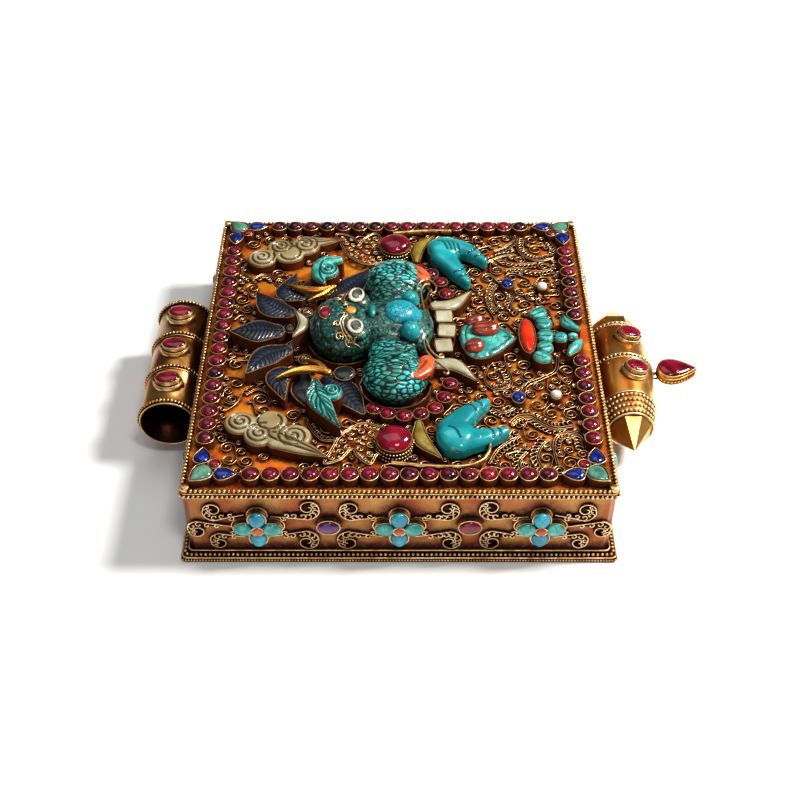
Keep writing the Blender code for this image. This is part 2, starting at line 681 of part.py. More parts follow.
def make_walls():
    """The flowers on the four walls, three on each long one and two beside each cord fitting."""
    petals = partial(flower, FLOWER_RADIUS)
    centre = partial(oval, 0, 0, FLOWER_CENTRE_RADIUS, FLOWER_CENTRE_RADIUS, BEAD_SIDES)
    one_flower = [(petals, FLOWER_RISE), (centre, FLOWER_RISE + FLOWER_CENTRE_RISE)]
    gem = partial(oval, 0, 0, WALL_OVAL_LENGTH / 2, WALL_OVAL_WIDTH / 2)
    shapes = []
    for index in (-1, 0, 1):
        shapes += [(moved(shape, index * FLOWER_SPACING), rise) for shape, rise in one_flower]
    for index in (-1, 1):
        shapes.append((moved(gem, index * FLOWER_SPACING / 2), WALL_OVAL_RISE))
    vine_half = FLOWER_SPACING + VINE_END
    for side, turn in (("front", -1), ("back", 1)):
        made = wall_stones(f"wall_stones_{side}", shapes, vine_half)
        made.rotation_euler = (math.pi / 2, 0, 0 if turn < 0 else math.pi)
        made.location = (0, turn * (half_depth + GAP), FITTING_HEIGHT)
    for side, turn in (("left", -1), ("right", 1)):
        for end, place_on in (("front", -1), ("back", 1)):
            made = wall_stones(f"wall_flower_{side}_{end}", one_flower, FLOWER_RADIUS + VINE_HEIGHT)
            made.rotation_euler = (math.pi / 2, 0, turn * math.pi / 2)
            made.location = (turn * (half_width + GAP), place_on * SIDE_FLOWER_SPACING, FITTING_HEIGHT)


def ring_profile(radius, height):
    """The bulge of a bead ring, from its top to its foot, on a turned body of this radius."""
    half = TUBE_RING_WIDTH / 2
    return [(radius, height + half), (radius + TUBE_RING_RISE, height), (radius, height - half)]


def set_in_tube(name, x, y, radius, length, width, height, lean=0.0):
    """An oval ruby in its collet, standing out from a fitting whose axis runs along Y."""
    shape = partial(oval, 0, 0, length / 2, width / 2)
    foot = radius + GAP
    top = foot + height
    rings = [(shape(), foot), (shape(), top - DOME_RISE), (shape(share=DOME_SHARE), top)]
    made = place(name, loft(name, rings), RUBY)
    made.rotation_euler = (0, lean, 0)
    made.location = (x, y, FITTING_HEIGHT)


def make_cord_tube():
    """The open tube on the left that the neck cord passes through, with bead rings and three rubies."""
    half = TUBE_LENGTH / 2
    end_ring = half - TUBE_RING_WIDTH
    profile = [(0, half), (TUBE_RADIUS, half)]
    for spot in (end_ring, TUBE_RING_SPACING / 2, -TUBE_RING_SPACING / 2, -end_ring):
        profile += ring_profile(TUBE_RADIUS, spot)
    profile += [(TUBE_RADIUS, -half), (0, -half)]
    tube = turned("cord_tube", profile, GILT)
    tube.rotation_euler = (math.pi / 2, 0, 0)
    tube.location = (tube_x, TUBE_PLACE, FITTING_HEIGHT)
    wall_x = -(half_width + GAP)
    saddle_half = half - TUBE_RING_WIDTH * 2
    low = (tube_x, TUBE_PLACE - saddle_half, FITTING_HEIGHT - SADDLE_HEIGHT / 2)
    high = (wall_x, TUBE_PLACE + saddle_half, FITTING_HEIGHT + SADDLE_HEIGHT / 2)
    combine(tube, "UNION", [place("saddle", block(low, high), GILT)])
    bore_radius = TUBE_RADIUS - TUBE_WALL
    bore = oval(0, 0, bore_radius, bore_radius, ROUND_SIDES)
    cutter = place("cord bore", slab("bore", bore, -half * 2, half * 4), GILT)
    cutter.rotation_euler = tube.rotation_euler
    cutter.location = tube.location
    combine(tube, "DIFFERENCE", [cutter])
    for index, y in enumerate((-TUBE_STONE_SPACING, 0, TUBE_STONE_SPACING), 1):
        size = TUBE_STONE_LENGTH, TUBE_STONE_WIDTH, TUBE_STONE_HEIGHT
        set_in_tube(f"cord_tube_ruby_{index}", tube_x, TUBE_PLACE + y, TUBE_RADIUS, *size)


def barrel_radius(height):
    """The barrel's radius this far from its widest place, since its side is one shallow arc."""
    return BARREL_RADIUS - height**2 / (2 * BARREL_SWELL)


def make_barrel():
    """The closed barrel on the right, with its bead band, its two faceted ends and its two rubies."""
    band_end = BARREL_FRONT - BARREL_BAND_WIDTH
    profile = [(0, BARREL_FRONT)]
    for height in (BARREL_FRONT, band_end):
        profile.append((barrel_radius(height) + BARREL_BAND_RISE, height))
    profile += [(barrel_radius(height), height) for height in (band_end, band_end / 2)]
    profile += ring_profile(BARREL_RADIUS, 0.0)
    profile.append((barrel_radius(-BARREL_BACK / 2), -BARREL_BACK / 2))
    back_ring = TUBE_RING_WIDTH - BARREL_BACK
    profile += ring_profile(barrel_radius(back_ring), back_ring)
    profile += [(barrel_radius(-BARREL_BACK), -BARREL_BACK), (0, -BARREL_BACK)]
    barrel = turned("barrel", profile, BRIGHT_GILT)
    barrel.rotation_euler = (math.pi / 2, 0, 0)
    barrel.location = (barrel_x, BARREL_PLACE, FITTING_HEIGHT)
    finials = []
    for way, end, steps in ((1, BARREL_FRONT, FRONT_FINIAL), (-1, BARREL_BACK, BACK_FINIAL)):
        rings = [(oval(0, 0, radius, radius, FINIAL_SIDES), way * (end + out)) for out, radius in steps]
        rings.insert(0, (rings[0][0], way * (end - GAP)))
        finial = place("finial", loft("finial", rings), BRIGHT_GILT)
        finial.rotation_euler = barrel.rotation_euler
        finial.location = barrel.location
        finials.append(finial)
    combine(barrel, "UNION", finials)
    wall_x = half_width + GAP
    low = (wall_x - BARREL_RADIUS, -BARREL_FRONT * 2, 0)
    high = (wall_x, BARREL_FRONT * 2, FITTING_HEIGHT * 2)
    combine(barrel, "DIFFERENCE", [place("wall", block(low, high), BRIGHT_GILT)])
    for index, turn in enumerate((-1, 1), 1):
        y = BARREL_STONE_MIDDLE + turn * BARREL_STONE_SPACING / 2
        size = BARREL_STONE_LENGTH, BARREL_STONE_WIDTH, BARREL_STONE_HEIGHT
        radius = barrel_radius(BARREL_PLACE - y)
        set_in_tube(f"barrel_ruby_{index}", barrel_x, y, radius, *size, lean=BARREL_STONE_LEAN)


def make_pendant():
    """The ruby drop that stands out from the barrel's middle."""
    shape = partial(drop, PENDANT_LENGTH / 2, 0, PENDANT_LENGTH, PENDANT_WIDTH, 0.0, ROUND_SIDES)
    top = PENDANT_EDGE + PENDANT_DOME
    rings = [(shape(), 0), (shape(), PENDANT_EDGE), (shape(share=DOME_SHARE), top)]
    made = place("pendant_drop", loft("pendant_drop", rings), RUBY)
    reach = BARREL_RADIUS + TUBE_RING_RISE + GAP
    made.rotation_euler = (0, -PENDANT_CLIMB, 0)
    made.location = (
        barrel_x + reach * math.cos(PENDANT_HEIGHT),
        BARREL_PLACE,
        FITTING_HEIGHT + reach * math.sin(PENDANT_HEIGHT) - PENDANT_EDGE / 2,
    )


SIDES = (("front", lambda shape: shape), ("back", mirrored))

make_box()
make_edge_wires()
make_border()
make_crown()
make_clouds()
make_hands()
make_mouth()
make_lotus()
make_small_stones()
make_mask()
make_walls()
make_cord_tube()
make_barrel()
make_pendant()
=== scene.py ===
# %% [markdown]
# # A gilt prayer box with a jewelled mask
# A gau is an amulet box that is worn on a cord. This one is a flat box of gilt copper, its face packed with
# filigree, cabochons and the carved turquoise mask of a guardian monster. CAD made the solids at their real
# sizes, and this notebook gives them relief, settings and finishes. Every shape is drawn in millimetres, and
# scaled to metres when its piece is made.

# %% The frame
from math import atan2, copysign, cos, exp, pi, radians, sin, sqrt

import bmesh
import bpy
import numpy as np
from mathutils import Matrix, Vector, kdtree
from mathutils.bvhtree import BVHTree
from mathutils.noise import noise as noise_field


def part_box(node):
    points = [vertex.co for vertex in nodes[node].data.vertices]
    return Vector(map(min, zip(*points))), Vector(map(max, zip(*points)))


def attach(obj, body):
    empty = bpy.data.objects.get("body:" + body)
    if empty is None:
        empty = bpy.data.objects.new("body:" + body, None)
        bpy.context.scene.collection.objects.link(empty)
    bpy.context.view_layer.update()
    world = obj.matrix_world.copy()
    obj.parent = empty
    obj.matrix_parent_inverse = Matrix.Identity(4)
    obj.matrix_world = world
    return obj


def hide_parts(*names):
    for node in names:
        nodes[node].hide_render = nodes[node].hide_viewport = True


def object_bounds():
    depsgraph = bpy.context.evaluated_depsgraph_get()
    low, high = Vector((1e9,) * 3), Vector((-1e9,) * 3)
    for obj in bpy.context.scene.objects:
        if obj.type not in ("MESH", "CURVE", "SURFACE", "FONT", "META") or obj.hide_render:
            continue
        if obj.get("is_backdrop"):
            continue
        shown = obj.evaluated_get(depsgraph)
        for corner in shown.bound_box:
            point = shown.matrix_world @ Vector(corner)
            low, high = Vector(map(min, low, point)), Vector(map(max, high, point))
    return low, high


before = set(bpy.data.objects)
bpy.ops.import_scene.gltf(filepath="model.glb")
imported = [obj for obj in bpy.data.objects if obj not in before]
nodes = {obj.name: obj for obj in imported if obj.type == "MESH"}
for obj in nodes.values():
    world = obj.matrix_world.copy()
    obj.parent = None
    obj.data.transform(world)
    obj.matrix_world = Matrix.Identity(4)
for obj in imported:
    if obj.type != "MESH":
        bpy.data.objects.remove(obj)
cad_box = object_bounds()
MM = 0.001
SEED = 7


def box_mm(name):
    """The lowest and highest corner of a CAD node in millimetres."""
    low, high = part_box(name)
    return low / MM, high / MM


def placed(name, data):
    """An object of this data in the scene."""
    made = bpy.data.objects.new(name, data)
    bpy.context.scene.collection.objects.link(made)
    return made


half_x, half_y, face_z = box_mm("front_shell")[1]
seat_z = box_mm("crown_leaf_middle")[0].z
print("face", round(half_x * 2, 1), "by", round(half_y * 2, 1), "mm, at", round(face_z, 2))

# %% [markdown]
# ## The view
# The camera stands above the long side and looks 43.5 degrees down. Its place and focal length were fitted
# to the corners of the box. A camera looks along its own -Z, so its matrix is made of three directions: to
# the right, up, and back.

# %% Camera
CAMERA_PLACE = Vector((-0.12, -269.79, 258.1)) * MM
CAMERA_DIP = radians(43.5)
CAMERA_TURN = radians(0.062)
CAMERA_ROLL = radians(-0.103)
LENS = 57.09


def camera_matrix(place, dip, turn, roll):
    """The matrix of a camera that looks down by its dip, turned and rolled a little."""
    ahead = Vector((sin(turn) * cos(dip), cos(turn) * cos(dip), -sin(dip)))
    level = Vector((cos(turn), -sin(turn), 0))
    down = ahead.cross(level)
    right = level * cos(roll) + down * sin(roll)
    up = level * sin(roll) - down * cos(roll)
    turned = Matrix((right, up, -ahead)).transposed().to_4x4()
    return Matrix.Translation(place) @ turned


camera_data = bpy.data.cameras.new("camera")
camera_data.lens = LENS
camera_data.clip_start = 0.01
camera = placed("camera", camera_data)
camera.matrix_world = camera_matrix(CAMERA_PLACE, CAMERA_DIP, CAMERA_TURN, CAMERA_ROLL)
bpy.context.scene.camera = camera
print("camera", round(CAMERA_PLACE.length, 3), "m from the box")

# %% [markdown]
# ## Light
# Gilt metal shows what it reflects, so it needs bright panels against a dimmer room. One small panel high on
# the right makes the key light and its crisp glints, wider ones overhead fill, and a low one in front lifts
# the long wall. The world is dim for what it lights and white for what the camera sees of it, as a backdrop
# is, so the floor can end where it would turn grey.


# %% Lights and floor
def panel(name, place, aim, size, power, colour=(1, 1, 1)):
    """A square area light that faces its aim."""
    light = bpy.data.lights.new(name, "AREA")
    light.size = size
    light.energy = power
    light.color = colour
    made = placed(name, light)
    made.location = place
    made.rotation_euler = (Vector(aim) - Vector(place)).to_track_quat("-Z", "Y").to_euler()


panel("key", (0.42, 0.06, 0.52), (0, 0, 0.02), 0.15, 6, (1, 0.97, 0.93))
panel("overhead", (-0.1, 0.25, 0.75), (0, 0, 0), 0.5, 1)
panel("front fill", (-0.12, -0.62, 0.22), (0, 0, 0.02), 0.35, 0.55)
panel("front overhead", (0.12, -0.3, 0.62), (0.05, 0, 0), 0.12, 0.9)
bpy.context.scene.view_settings.view_transform = "Standard"
bpy.context.scene.view_settings.look = "Medium High Contrast"

world = bpy.data.worlds.new("studio")
world.use_nodes = True
world.node_tree.nodes["Background"].inputs["Color"].default_value = (1, 1, 1, 1)
ROOM_LIGHT, BACKDROP_LIGHT = 0.14, 0.9
sky = world.node_tree
backdrop = sky.nodes.new("ShaderNodeMapRange")
backdrop.inputs["To Min"].default_value = ROOM_LIGHT
backdrop.inputs["To Max"].default_value = BACKDROP_LIGHT
sky.links.new(sky.nodes.new("ShaderNodeLightPath").outputs["Is Camera Ray"], backdrop.inputs["Value"])
sky.links.new(backdrop.outputs["Result"], sky.nodes["Background"].inputs["Strength"])
bpy.context.scene.world = world

FLOOR_HALF = 0.42
floor_mesh = bpy.data.meshes.new("floor")
floor_corners = [(x * FLOOR_HALF, y * FLOOR_HALF, 0) for x, y in ((-1, -1), (1, -1), (1, 1), (-1, 1))]
floor_mesh.from_pydata(floor_corners, [], [(0, 1, 2, 3)])
placed("floor", floor_mesh)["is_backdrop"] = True
floor_paint = bpy.data.materials.new("white floor")
floor_paint.use_nodes = True
floor_shader = floor_paint.node_tree.nodes["Principled BSDF"]
floor_shader.inputs["Base Color"].default_value = (0.95, 0.95, 0.95, 1)
floor_shader.inputs["Roughness"].default_value = 0.9
floor_mesh.materials.append(floor_paint)

# %% [markdown]
# ## Finishes
# A finish is a tree of shader nodes. Small helpers keep the trees readable. A node group is drawn once and
# used in many materials, each with its own values, as a gilder uses one recipe for many jobs.


# %% Helpers for node trees
def add(tree, kind, inputs=None, **settings):
    """A new node. Each input is either a value or the output socket that feeds it."""
    made = tree.nodes.new(kind)
    for name, value in settings.items():
        setattr(made, name, value)
    for name, value in (inputs or {}).items():
        if isinstance(value, bpy.types.NodeSocket):
            tree.links.new(value, made.inputs[name])
        else:
            made.inputs[name].default_value = value
    return made


SOCKETS = {"colour": "NodeSocketColor", "number": "NodeSocketFloat", "vector": "NodeSocketVector"}


def open_group(name, inputs, outputs):
    """A shader node group: its tree, and the nodes that hold its inputs and its outputs."""
    tree = bpy.data.node_groups.new(name, "ShaderNodeTree")
    for direction, sockets in (("INPUT", inputs), ("OUTPUT", outputs)):
        for label, kind in sockets.items():
            tree.interface.new_socket(label, in_out=direction, socket_type=SOCKETS[kind])
    return tree, tree.nodes.new("NodeGroupInput").outputs, tree.nodes.new("NodeGroupOutput")


def blend(tree, share, first, second, mode="MIX"):
    """The output of a node that mixes two colours."""
    made = add(tree, "ShaderNodeMix", {0: share, 6: first, 7: second}, data_type="RGBA", blend_type=mode)
    return made.outputs[2]


def maths(tree, operation, first, second, **settings):
    """The output of a node that works out one number from two."""
    made = add(tree, "ShaderNodeMath", {0: first, 1: second}, operation=operation, **settings)
    return made.outputs[0]


def vector_maths(tree, operation, first, second):
    """The output of a node that works out one vector from two."""
    return add(tree, "ShaderNodeVectorMath", {0: first, 1: second}, operation=operation).outputs[0]


def remap(tree, value, low, high, start=0.0, end=1.0):
    """The output of a node that turns the run from low to high into the run from start to end."""
    ends = {"Value": value, "From Min": low, "From Max": high, "To Min": start, "To Max": end}
    return add(tree, "ShaderNodeMapRange", ends).outputs["Result"]


def noise(tree, place, scale, detail=4.0, output="Fac"):
    """The output of a noise texture, which hovers round a half."""
    made = add(tree, "ShaderNodeTexNoise", {"Vector": place, "Scale": scale, "Detail": detail})
    return made.outputs[output]


# %% [markdown]
# ### Old gilding
# Gold over copper wears in a set order. Edges that hands touch stay bright, flat ground turns orange where
# the copper shows, and dirt and red lacquer stay in the corners. Ambient occlusion finds the corners, where
# the colour turns dark as painted shade along with that dirt, and standing sides can take the same painted
# shade. Noise breaks the change up, because no hand wipes evenly.

# %% The gilding group
gilding, gilding_in, gilding_out = open_group(
    "old gilding",
    {
        "Place": "vector", "Openness": "number", "Gold": "colour", "Copper": "colour", "Grime": "colour",
        "Dirt": "number", "Grain": "number", "Upright": "number",
    },
    {"Colour": "colour", "Roughness": "number", "Height": "number"},
)
blotches = noise(gilding, gilding_in["Place"], gilding_in["Grain"])
specks = noise(gilding, gilding_in["Place"], maths(gilding, "MULTIPLY", gilding_in["Grain"], 7), 3)
worn = remap(gilding, blotches, 0.42, 0.62)
warm = blend(gilding, worn, gilding_in["Gold"], gilding_in["Copper"])
# Near corners, and on faces that a material marks as upright, the colour turns dark: painted shade, with dirt
# in the corners.
depth = remap(gilding, gilding_in["Openness"], 0.95, 0.35)
broken = maths(gilding, "MULTIPLY", depth, remap(gilding, specks, 0.3, 0.6, 0.6, 1.25))
shaded_and_soiled = maths(gilding, "MULTIPLY", broken, gilding_in["Dirt"], use_clamp=True)
darkened = maths(gilding, "MAXIMUM", shaded_and_soiled, gilding_in["Upright"])
final = blend(gilding, darkened, warm, gilding_in["Grime"])
dull = remap(gilding, darkened, 0, 1, 0.3, 0.75)
gilding.links.new(final, gilding_out.inputs["Colour"])
gilding.links.new(dull, gilding_out.inputs["Roughness"])
gilding.links.new(specks, gilding_out.inputs["Height"])
print("gilding group has", len(gilding.nodes), "nodes")

# %% [markdown]
# ### Cut stone
# Turquoise, coral and lapis have lighter clouds in them and darker veins. Clouds come from noise. Veins
# follow the edges between Voronoi cells, once noise has shaken the place that the texture reads, so that no
# vein is straight. Carved pieces carry their grooves as a mesh attribute named carving, from 0 to 1, and a
# piece without it reads 0 there.

# %% The stone group
stone, stone_in, stone_out = open_group(
    "cut stone",
    {
        "Place": "vector", "Openness": "number", "Body": "colour", "Cloud": "colour", "Vein": "colour",
        "Groove and shade": "colour", "Cloud size": "number", "Vein size": "number", "Vein width": "number",
        "Vein share": "number",
    },
    {"Colour": "colour", "Veins": "number", "Height": "number"},
)
clouds = remap(stone, noise(stone, stone_in["Place"], stone_in["Cloud size"]), 0.38, 0.64)
body_colour = blend(stone, clouds, stone_in["Body"], stone_in["Cloud"])
SHAKE = 0.0022
shaken = noise(stone, stone_in["Place"], stone_in["Vein size"], 3, "Color")
shift = vector_maths(stone, "MULTIPLY", shaken, (SHAKE,) * 3)
vein_spot = {"Vector": vector_maths(stone, "ADD", stone_in["Place"], shift), "Scale": stone_in["Vein size"]}
cells = add(stone, "ShaderNodeTexVoronoi", vein_spot, feature="DISTANCE_TO_EDGE")
edge_width = maths(stone, "MAXIMUM", stone_in["Vein width"], 0.001)
near = maths(stone, "DIVIDE", cells.outputs["Distance"], edge_width)
patchy = remap(stone, noise(stone, stone_in["Place"], stone_in["Cloud size"], 2), 0.35, 0.55)
line = maths(stone, "MULTIPLY", remap(stone, near, 1, 0.35), patchy)
vein_mask = maths(stone, "MULTIPLY", line, stone_in["Vein share"])
veined = blend(stone, vein_mask, body_colour, stone_in["Vein"])
carving = add(stone, "ShaderNodeAttribute", attribute_name="carving")
carved = blend(stone, carving.outputs["Fac"], veined, stone_in["Groove and shade"])
# Near corners the stone darkens to the groove colour by ambient occlusion: painted shade.
shade = remap(stone, stone_in["Openness"], 0.92, 0.35, 0, 0.92)
shaded = blend(stone, shade, carved, stone_in["Groove and shade"])
stone.links.new(shaded, stone_out.inputs["Colour"])
stone.links.new(vein_mask, stone_out.inputs["Veins"])
stone.links.new(remap(stone, vein_mask, 0, 1, 1, 0), stone_out.inputs["Height"])
print("stone group has", len(stone.nodes), "nodes")

# %% [markdown]
# The two recipes become materials here. Each material holds a Principled shader of its own, because gloss
# belongs to the one finish.


# %% Material makers
def shader_tree(name):
    """A new material's tree, its shader, and the place on the piece that its textures read."""
    made = bpy.data.materials.new(name)
    made.use_nodes = True
    tree = made.node_tree
    place = add(tree, "ShaderNodeTexCoord").outputs["Object"]
    return made, tree, tree.nodes["Principled BSDF"], place


def bump(tree, shader, height, strength, distance):
    """Feeds a height into the shader's normal."""
    node = add(tree, "ShaderNodeBump", {"Height": height, "Strength": strength, "Distance": distance * MM})
    tree.links.new(node.outputs["Normal"], shader.inputs["Normal"])


def openness(tree, recipe, reach, lean=0.0):
    """Feeds a recipe with how open the surface lies: 1 in the open and less near a corner.

    With a lean it looks downwards from a wall, so that the darkening gathers above whatever stands out from
    it.
    """
    # The recipes darken where this reads low, which paints shade into the corners, with some dirt.
    seen = add(tree, "ShaderNodeAmbientOcclusion", {"Distance": reach * MM}, samples=6)
    if lean:
        outwards = add(tree, "ShaderNodeNewGeometry").outputs["Normal"]
        lowered = vector_maths(tree, "ADD", outwards, (0, 0, -lean))
        look = add(tree, "ShaderNodeVectorMath", {0: lowered}, operation="NORMALIZE")
        tree.links.new(look.outputs[0], seen.inputs["Normal"])
    tree.links.new(seen.outputs["AO"], recipe.inputs["Openness"])


def gilt(name, gold, copper, shade_and_grime, reach, shade_and_dirt, grain, dents=0.25, upright=0.0, topside=0.0, lean=0.0):
    """Gilding of these colours. Reach is how far from a corner its painted shade and soil go, in millimetres.

    Upright is how far the standing sides are darkened to the third colour, which is painted shade. Topside is
    the same for what looks straight up from a wall, which is darkened in the same way.
    """
    made, tree, shader, place = shader_tree(name)
    values = {"Gold": (*gold, 1), "Copper": (*copper, 1), "Grime": (*shade_and_grime, 1), "Dirt": shade_and_dirt, "Grain": grain}
    recipe = add(tree, "ShaderNodeGroup", {"Place": place, **values}, node_tree=gilding)
    openness(tree, recipe, reach, lean)
    facing = add(tree, "ShaderNodeTexCoord").outputs["Normal"]
    rise = add(tree, "ShaderNodeSeparateXYZ", {"Vector": facing}).outputs["Z"]
    # Standing sides, or with a topside the faces that look up from a wall, are darkened; on standing sides
    # this is painted shade.
    darkened_faces = (0.6, 0.95, 0, topside) if topside else (0.85, 0.4, 0, upright)
    tree.links.new(remap(tree, rise, *darkened_faces), recipe.inputs["Upright"])
    tree.links.new(recipe.outputs["Colour"], shader.inputs["Base Color"])
    tree.links.new(recipe.outputs["Roughness"], shader.inputs["Roughness"])
    shader.inputs["Metallic"].default_value = 1.0
    bump(tree, shader, recipe.outputs["Height"], dents, 0.25)
    return made


def cut_stone(name, body, cloud, vein, groove_and_shade, sizes, vein_width, veins, polish):
    """A polished stone. Sizes are how many clouds and how many vein cells there are to a metre."""
    made, tree, shader, place = shader_tree(name)
    colours = {"Body": (*body, 1), "Cloud": (*cloud, 1), "Vein": (*vein, 1), "Groove and shade": (*groove_and_shade, 1)}
    values = {"Cloud size": sizes[0], "Vein size": sizes[1], "Vein width": vein_width, "Vein share": veins}
    recipe = add(tree, "ShaderNodeGroup", {"Place": place, **colours, **values}, node_tree=stone)
    openness(tree, recipe, 1.6)
    tree.links.new(recipe.outputs["Colour"], shader.inputs["Base Color"])
    rough = remap(tree, recipe.outputs["Veins"], 0, 1, polish, polish + 0.3)
    tree.links.new(rough, shader.inputs["Roughness"])
    shader.inputs["Coat Weight"].default_value = 0.35
    shader.inputs["Coat Roughness"].default_value = 0.12
    bump(tree, shader, recipe.outputs["Height"], 0.35, 0.15)
    return made


# %% The palette
# A gilding's third colour is what its corners and darkened faces turn to: painted shade, with grime.
PLATE = gilt("plate gilding", (1, 0.38, 0.04), (0.85, 0.16, 0.015), (0.04, 0.006, 0.003), 2.6, 1.3, 130, 0.5)
# Wire sides are darkened almost to black as painted shade.
WIRE = gilt(
    "wire gilding", (0.98, 0.7, 0.38), (0.92, 0.48, 0.2), (0.05, 0.008, 0.004),
    0.7, 1.2, 300, upright=0.95,
)
# Wall wire darkens on the faces that look up from the wall.
WALL_GOLD = gilt(
    "wall wire", (1, 0.74, 0.44), (0.8, 0.48, 0.2), (0.05, 0.012, 0.006),
    0.6, 0.95, 300, topside=0.9,
)
PALE_GOLD = gilt("pale gold", (1, 0.8, 0.5), (0.85, 0.55, 0.25), (0.1, 0.03, 0.01), 0.6, 0.9, 300)
# The wall's darkening looks downwards, so it gathers above whatever stands out from the wall.
WALL = gilt(
    "wall gilding", (0.46, 0.235, 0.075), (0.34, 0.095, 0.03), (0.045, 0.006, 0.005),
    4.6, 2, 85, 0.3, lean=0.7,
)
BEADS = gilt("bead gilding", (0.9, 0.61, 0.28), (0.6, 0.31, 0.11), (0.035, 0.008, 0.004), 0.9, 1.5, 400)
# Collet sides are darkened as painted shade, in a warm dark that also paints the orange ground's reflection.
COLLET = gilt(
    "collet gilding", (0.88, 0.61, 0.3), (0.68, 0.35, 0.12), (0.11, 0.02, 0.006),
    1.5, 1.1, 260, upright=0.9,
)
HORN = gilt("horn gilding", (0.95, 0.5, 0.12), (0.7, 0.26, 0.04), (0.1, 0.02, 0.006), 1.2, 1, 260)
BRIGHT = gilt(
    "bright gilding", (0.78, 0.47, 0.15), (0.6, 0.22, 0.045), (0.07, 0.016, 0.006),
    2.2, 1.3, 75, 0.12,
)

# A stone's fourth colour fills its carved lines, and near corners it is painted shade.
RUBY = cut_stone(
    "ruby", (0.075, 0, 0.007), (0.26, 0.002, 0.024), (0.03, 0, 0.004), (0.04, 0, 0.006),
    (260, 420), 0.03, 0.5, 0.12,
)
ROW_RUBY = cut_stone(
    "row ruby", (0.014, 0, 0.005), (0.23, 0.002, 0.02), (0.03, 0, 0.004), (0.04, 0, 0.006),
    (130, 420), 0.03, 0.5, 0.12,
)
LAPIS = cut_stone(
    "lapis", (0.002, 0.007, 0.075), (0.004, 0.024, 0.26), (0.004, 0.005, 0.03), (0.002, 0.004, 0.02),
    (420, 500), 0.03, 0.4, 0.12,
)
LEAF_LAPIS = cut_stone(
    "leaf lapis", (0.001, 0.003, 0.01), (0.003, 0.016, 0.06), (0.004, 0.007, 0.014), (0.001, 0.002, 0.004),
    (300, 420), 0.04, 0.7, 0.45,
)
TURQUOISE = cut_stone(
    "turquoise", (0.004, 0.19, 0.21), (0.012, 0.34, 0.36), (0.008, 0.03, 0.035), (0.004, 0.025, 0.03),
    (150, 130), 0.012, 0.4, 0.2,
)
GREEN_TURQUOISE = cut_stone(
    "green turquoise", (0.002, 0.01, 0.008), (0.06, 0.34, 0.26), (0.002, 0.007, 0.006), (0.002, 0.006, 0.005),
    (560, 900), 0.24, 1, 0.26,
)
CARVED_TURQUOISE = cut_stone(
    "carved turquoise", (0.014, 0.25, 0.23), (0.11, 0.54, 0.46), (0.008, 0.05, 0.05), (0.002, 0.014, 0.014),
    (300, 420), 0.05, 0.8, 0.24,
)
SPECKLED = cut_stone(
    "speckled turquoise", (0.01, 0.28, 0.36), (0.03, 0.42, 0.48), (0.003, 0.03, 0.045), (0.006, 0.05, 0.06),
    (420, 900), 0.12, 0.9, 0.18,
)
CORAL = cut_stone(
    "coral", (0.46, 0.065, 0.015), (0.66, 0.14, 0.035), (0.07, 0.006, 0.003), (0.1, 0.01, 0.005),
    (260, 300), 0.03, 0.8, 0.28,
)
VERMILION = cut_stone(
    "vermilion coral", (0.5, 0.02, 0.004), (0.66, 0.05, 0.01), (0.2, 0.01, 0.005), (0.1, 0.008, 0.004),
    (200, 200), 0.01, 0.2, 0.12,
)
TONGUE = cut_stone(
    "tongue coral", (0.2, 0.022, 0.01), (0.36, 0.065, 0.028), (0.08, 0.008, 0.005), (0.03, 0.004, 0.003),
    (190, 240), 0.03, 0.6, 0.2,
)
CLOUD = cut_stone(
    "pale jade", (0.26, 0.185, 0.075), (0.4, 0.34, 0.19), (0.18, 0.12, 0.04), (0.045, 0.024, 0.008),
    (110, 200), 0.02, 0.5, 0.28,
)
IVORY = cut_stone(
    "ivory", (0.32, 0.3, 0.19), (0.46, 0.45, 0.33), (0.22, 0.17, 0.07), (0.1, 0.07, 0.025),
    (190, 200), 0.02, 0.6, 0.2,
)
OLIVE = cut_stone(
    "olive jade", (0.16, 0.11, 0.012), (0.29, 0.22, 0.04), (0.08, 0.05, 0.01), (0.05, 0.03, 0.008),
    (180, 240), 0.02, 0.6, 0.18,
)
SEA_GREEN = cut_stone(
    "sea green stone", (0.035, 0.13, 0.09), (0.12, 0.29, 0.2), (0.02, 0.06, 0.05), (0.01, 0.04, 0.03),
    (340, 300), 0.03, 0.5, 0.1,
)
PEARL = cut_stone(
    "pearl", (0.5, 0.48, 0.43), (0.68, 0.66, 0.62), (0.45, 0.42, 0.36), (0.2, 0.15, 0.1),
    (160, 100), 0.01, 0.1, 0.16,
)
CRYSTAL = cut_stone(
    "grey crystal", (0.012, 0.018, 0.017), (0.16, 0.2, 0.18), (0.01, 0.014, 0.014), (0.01, 0.01, 0.01),
    (500, 700), 0.05, 0.6, 0.05,
)
WHITE_SHELL = cut_stone(
    "white shell", (0.52, 0.52, 0.47), (0.7, 0.7, 0.66), (0.4, 0.4, 0.34), (0.14, 0.12, 0.09),
    (300, 300), 0.02, 0.4, 0.2,
)
JET = cut_stone(
    "jet", (0.006, 0.008, 0.01), (0.022, 0.028, 0.032), (0.03, 0.036, 0.036), (0.002, 0.003, 0.003),
    (300, 420), 0.03, 0.5, 0.22,
)
AMBER = cut_stone(
    "amber", (0.48, 0.14, 0.01), (0.72, 0.32, 0.04), (0.2, 0.05, 0.01), (0.12, 0.03, 0.006),
    (400, 500), 0.03, 0.5, 0.15,
)
AMETHYST = cut_stone(
    "amethyst", (0.055, 0.006, 0.075), (0.16, 0.03, 0.19), (0.03, 0, 0.03), (0.03, 0, 0.02),
    (260, 420), 0.03, 0.4, 0.12,
)
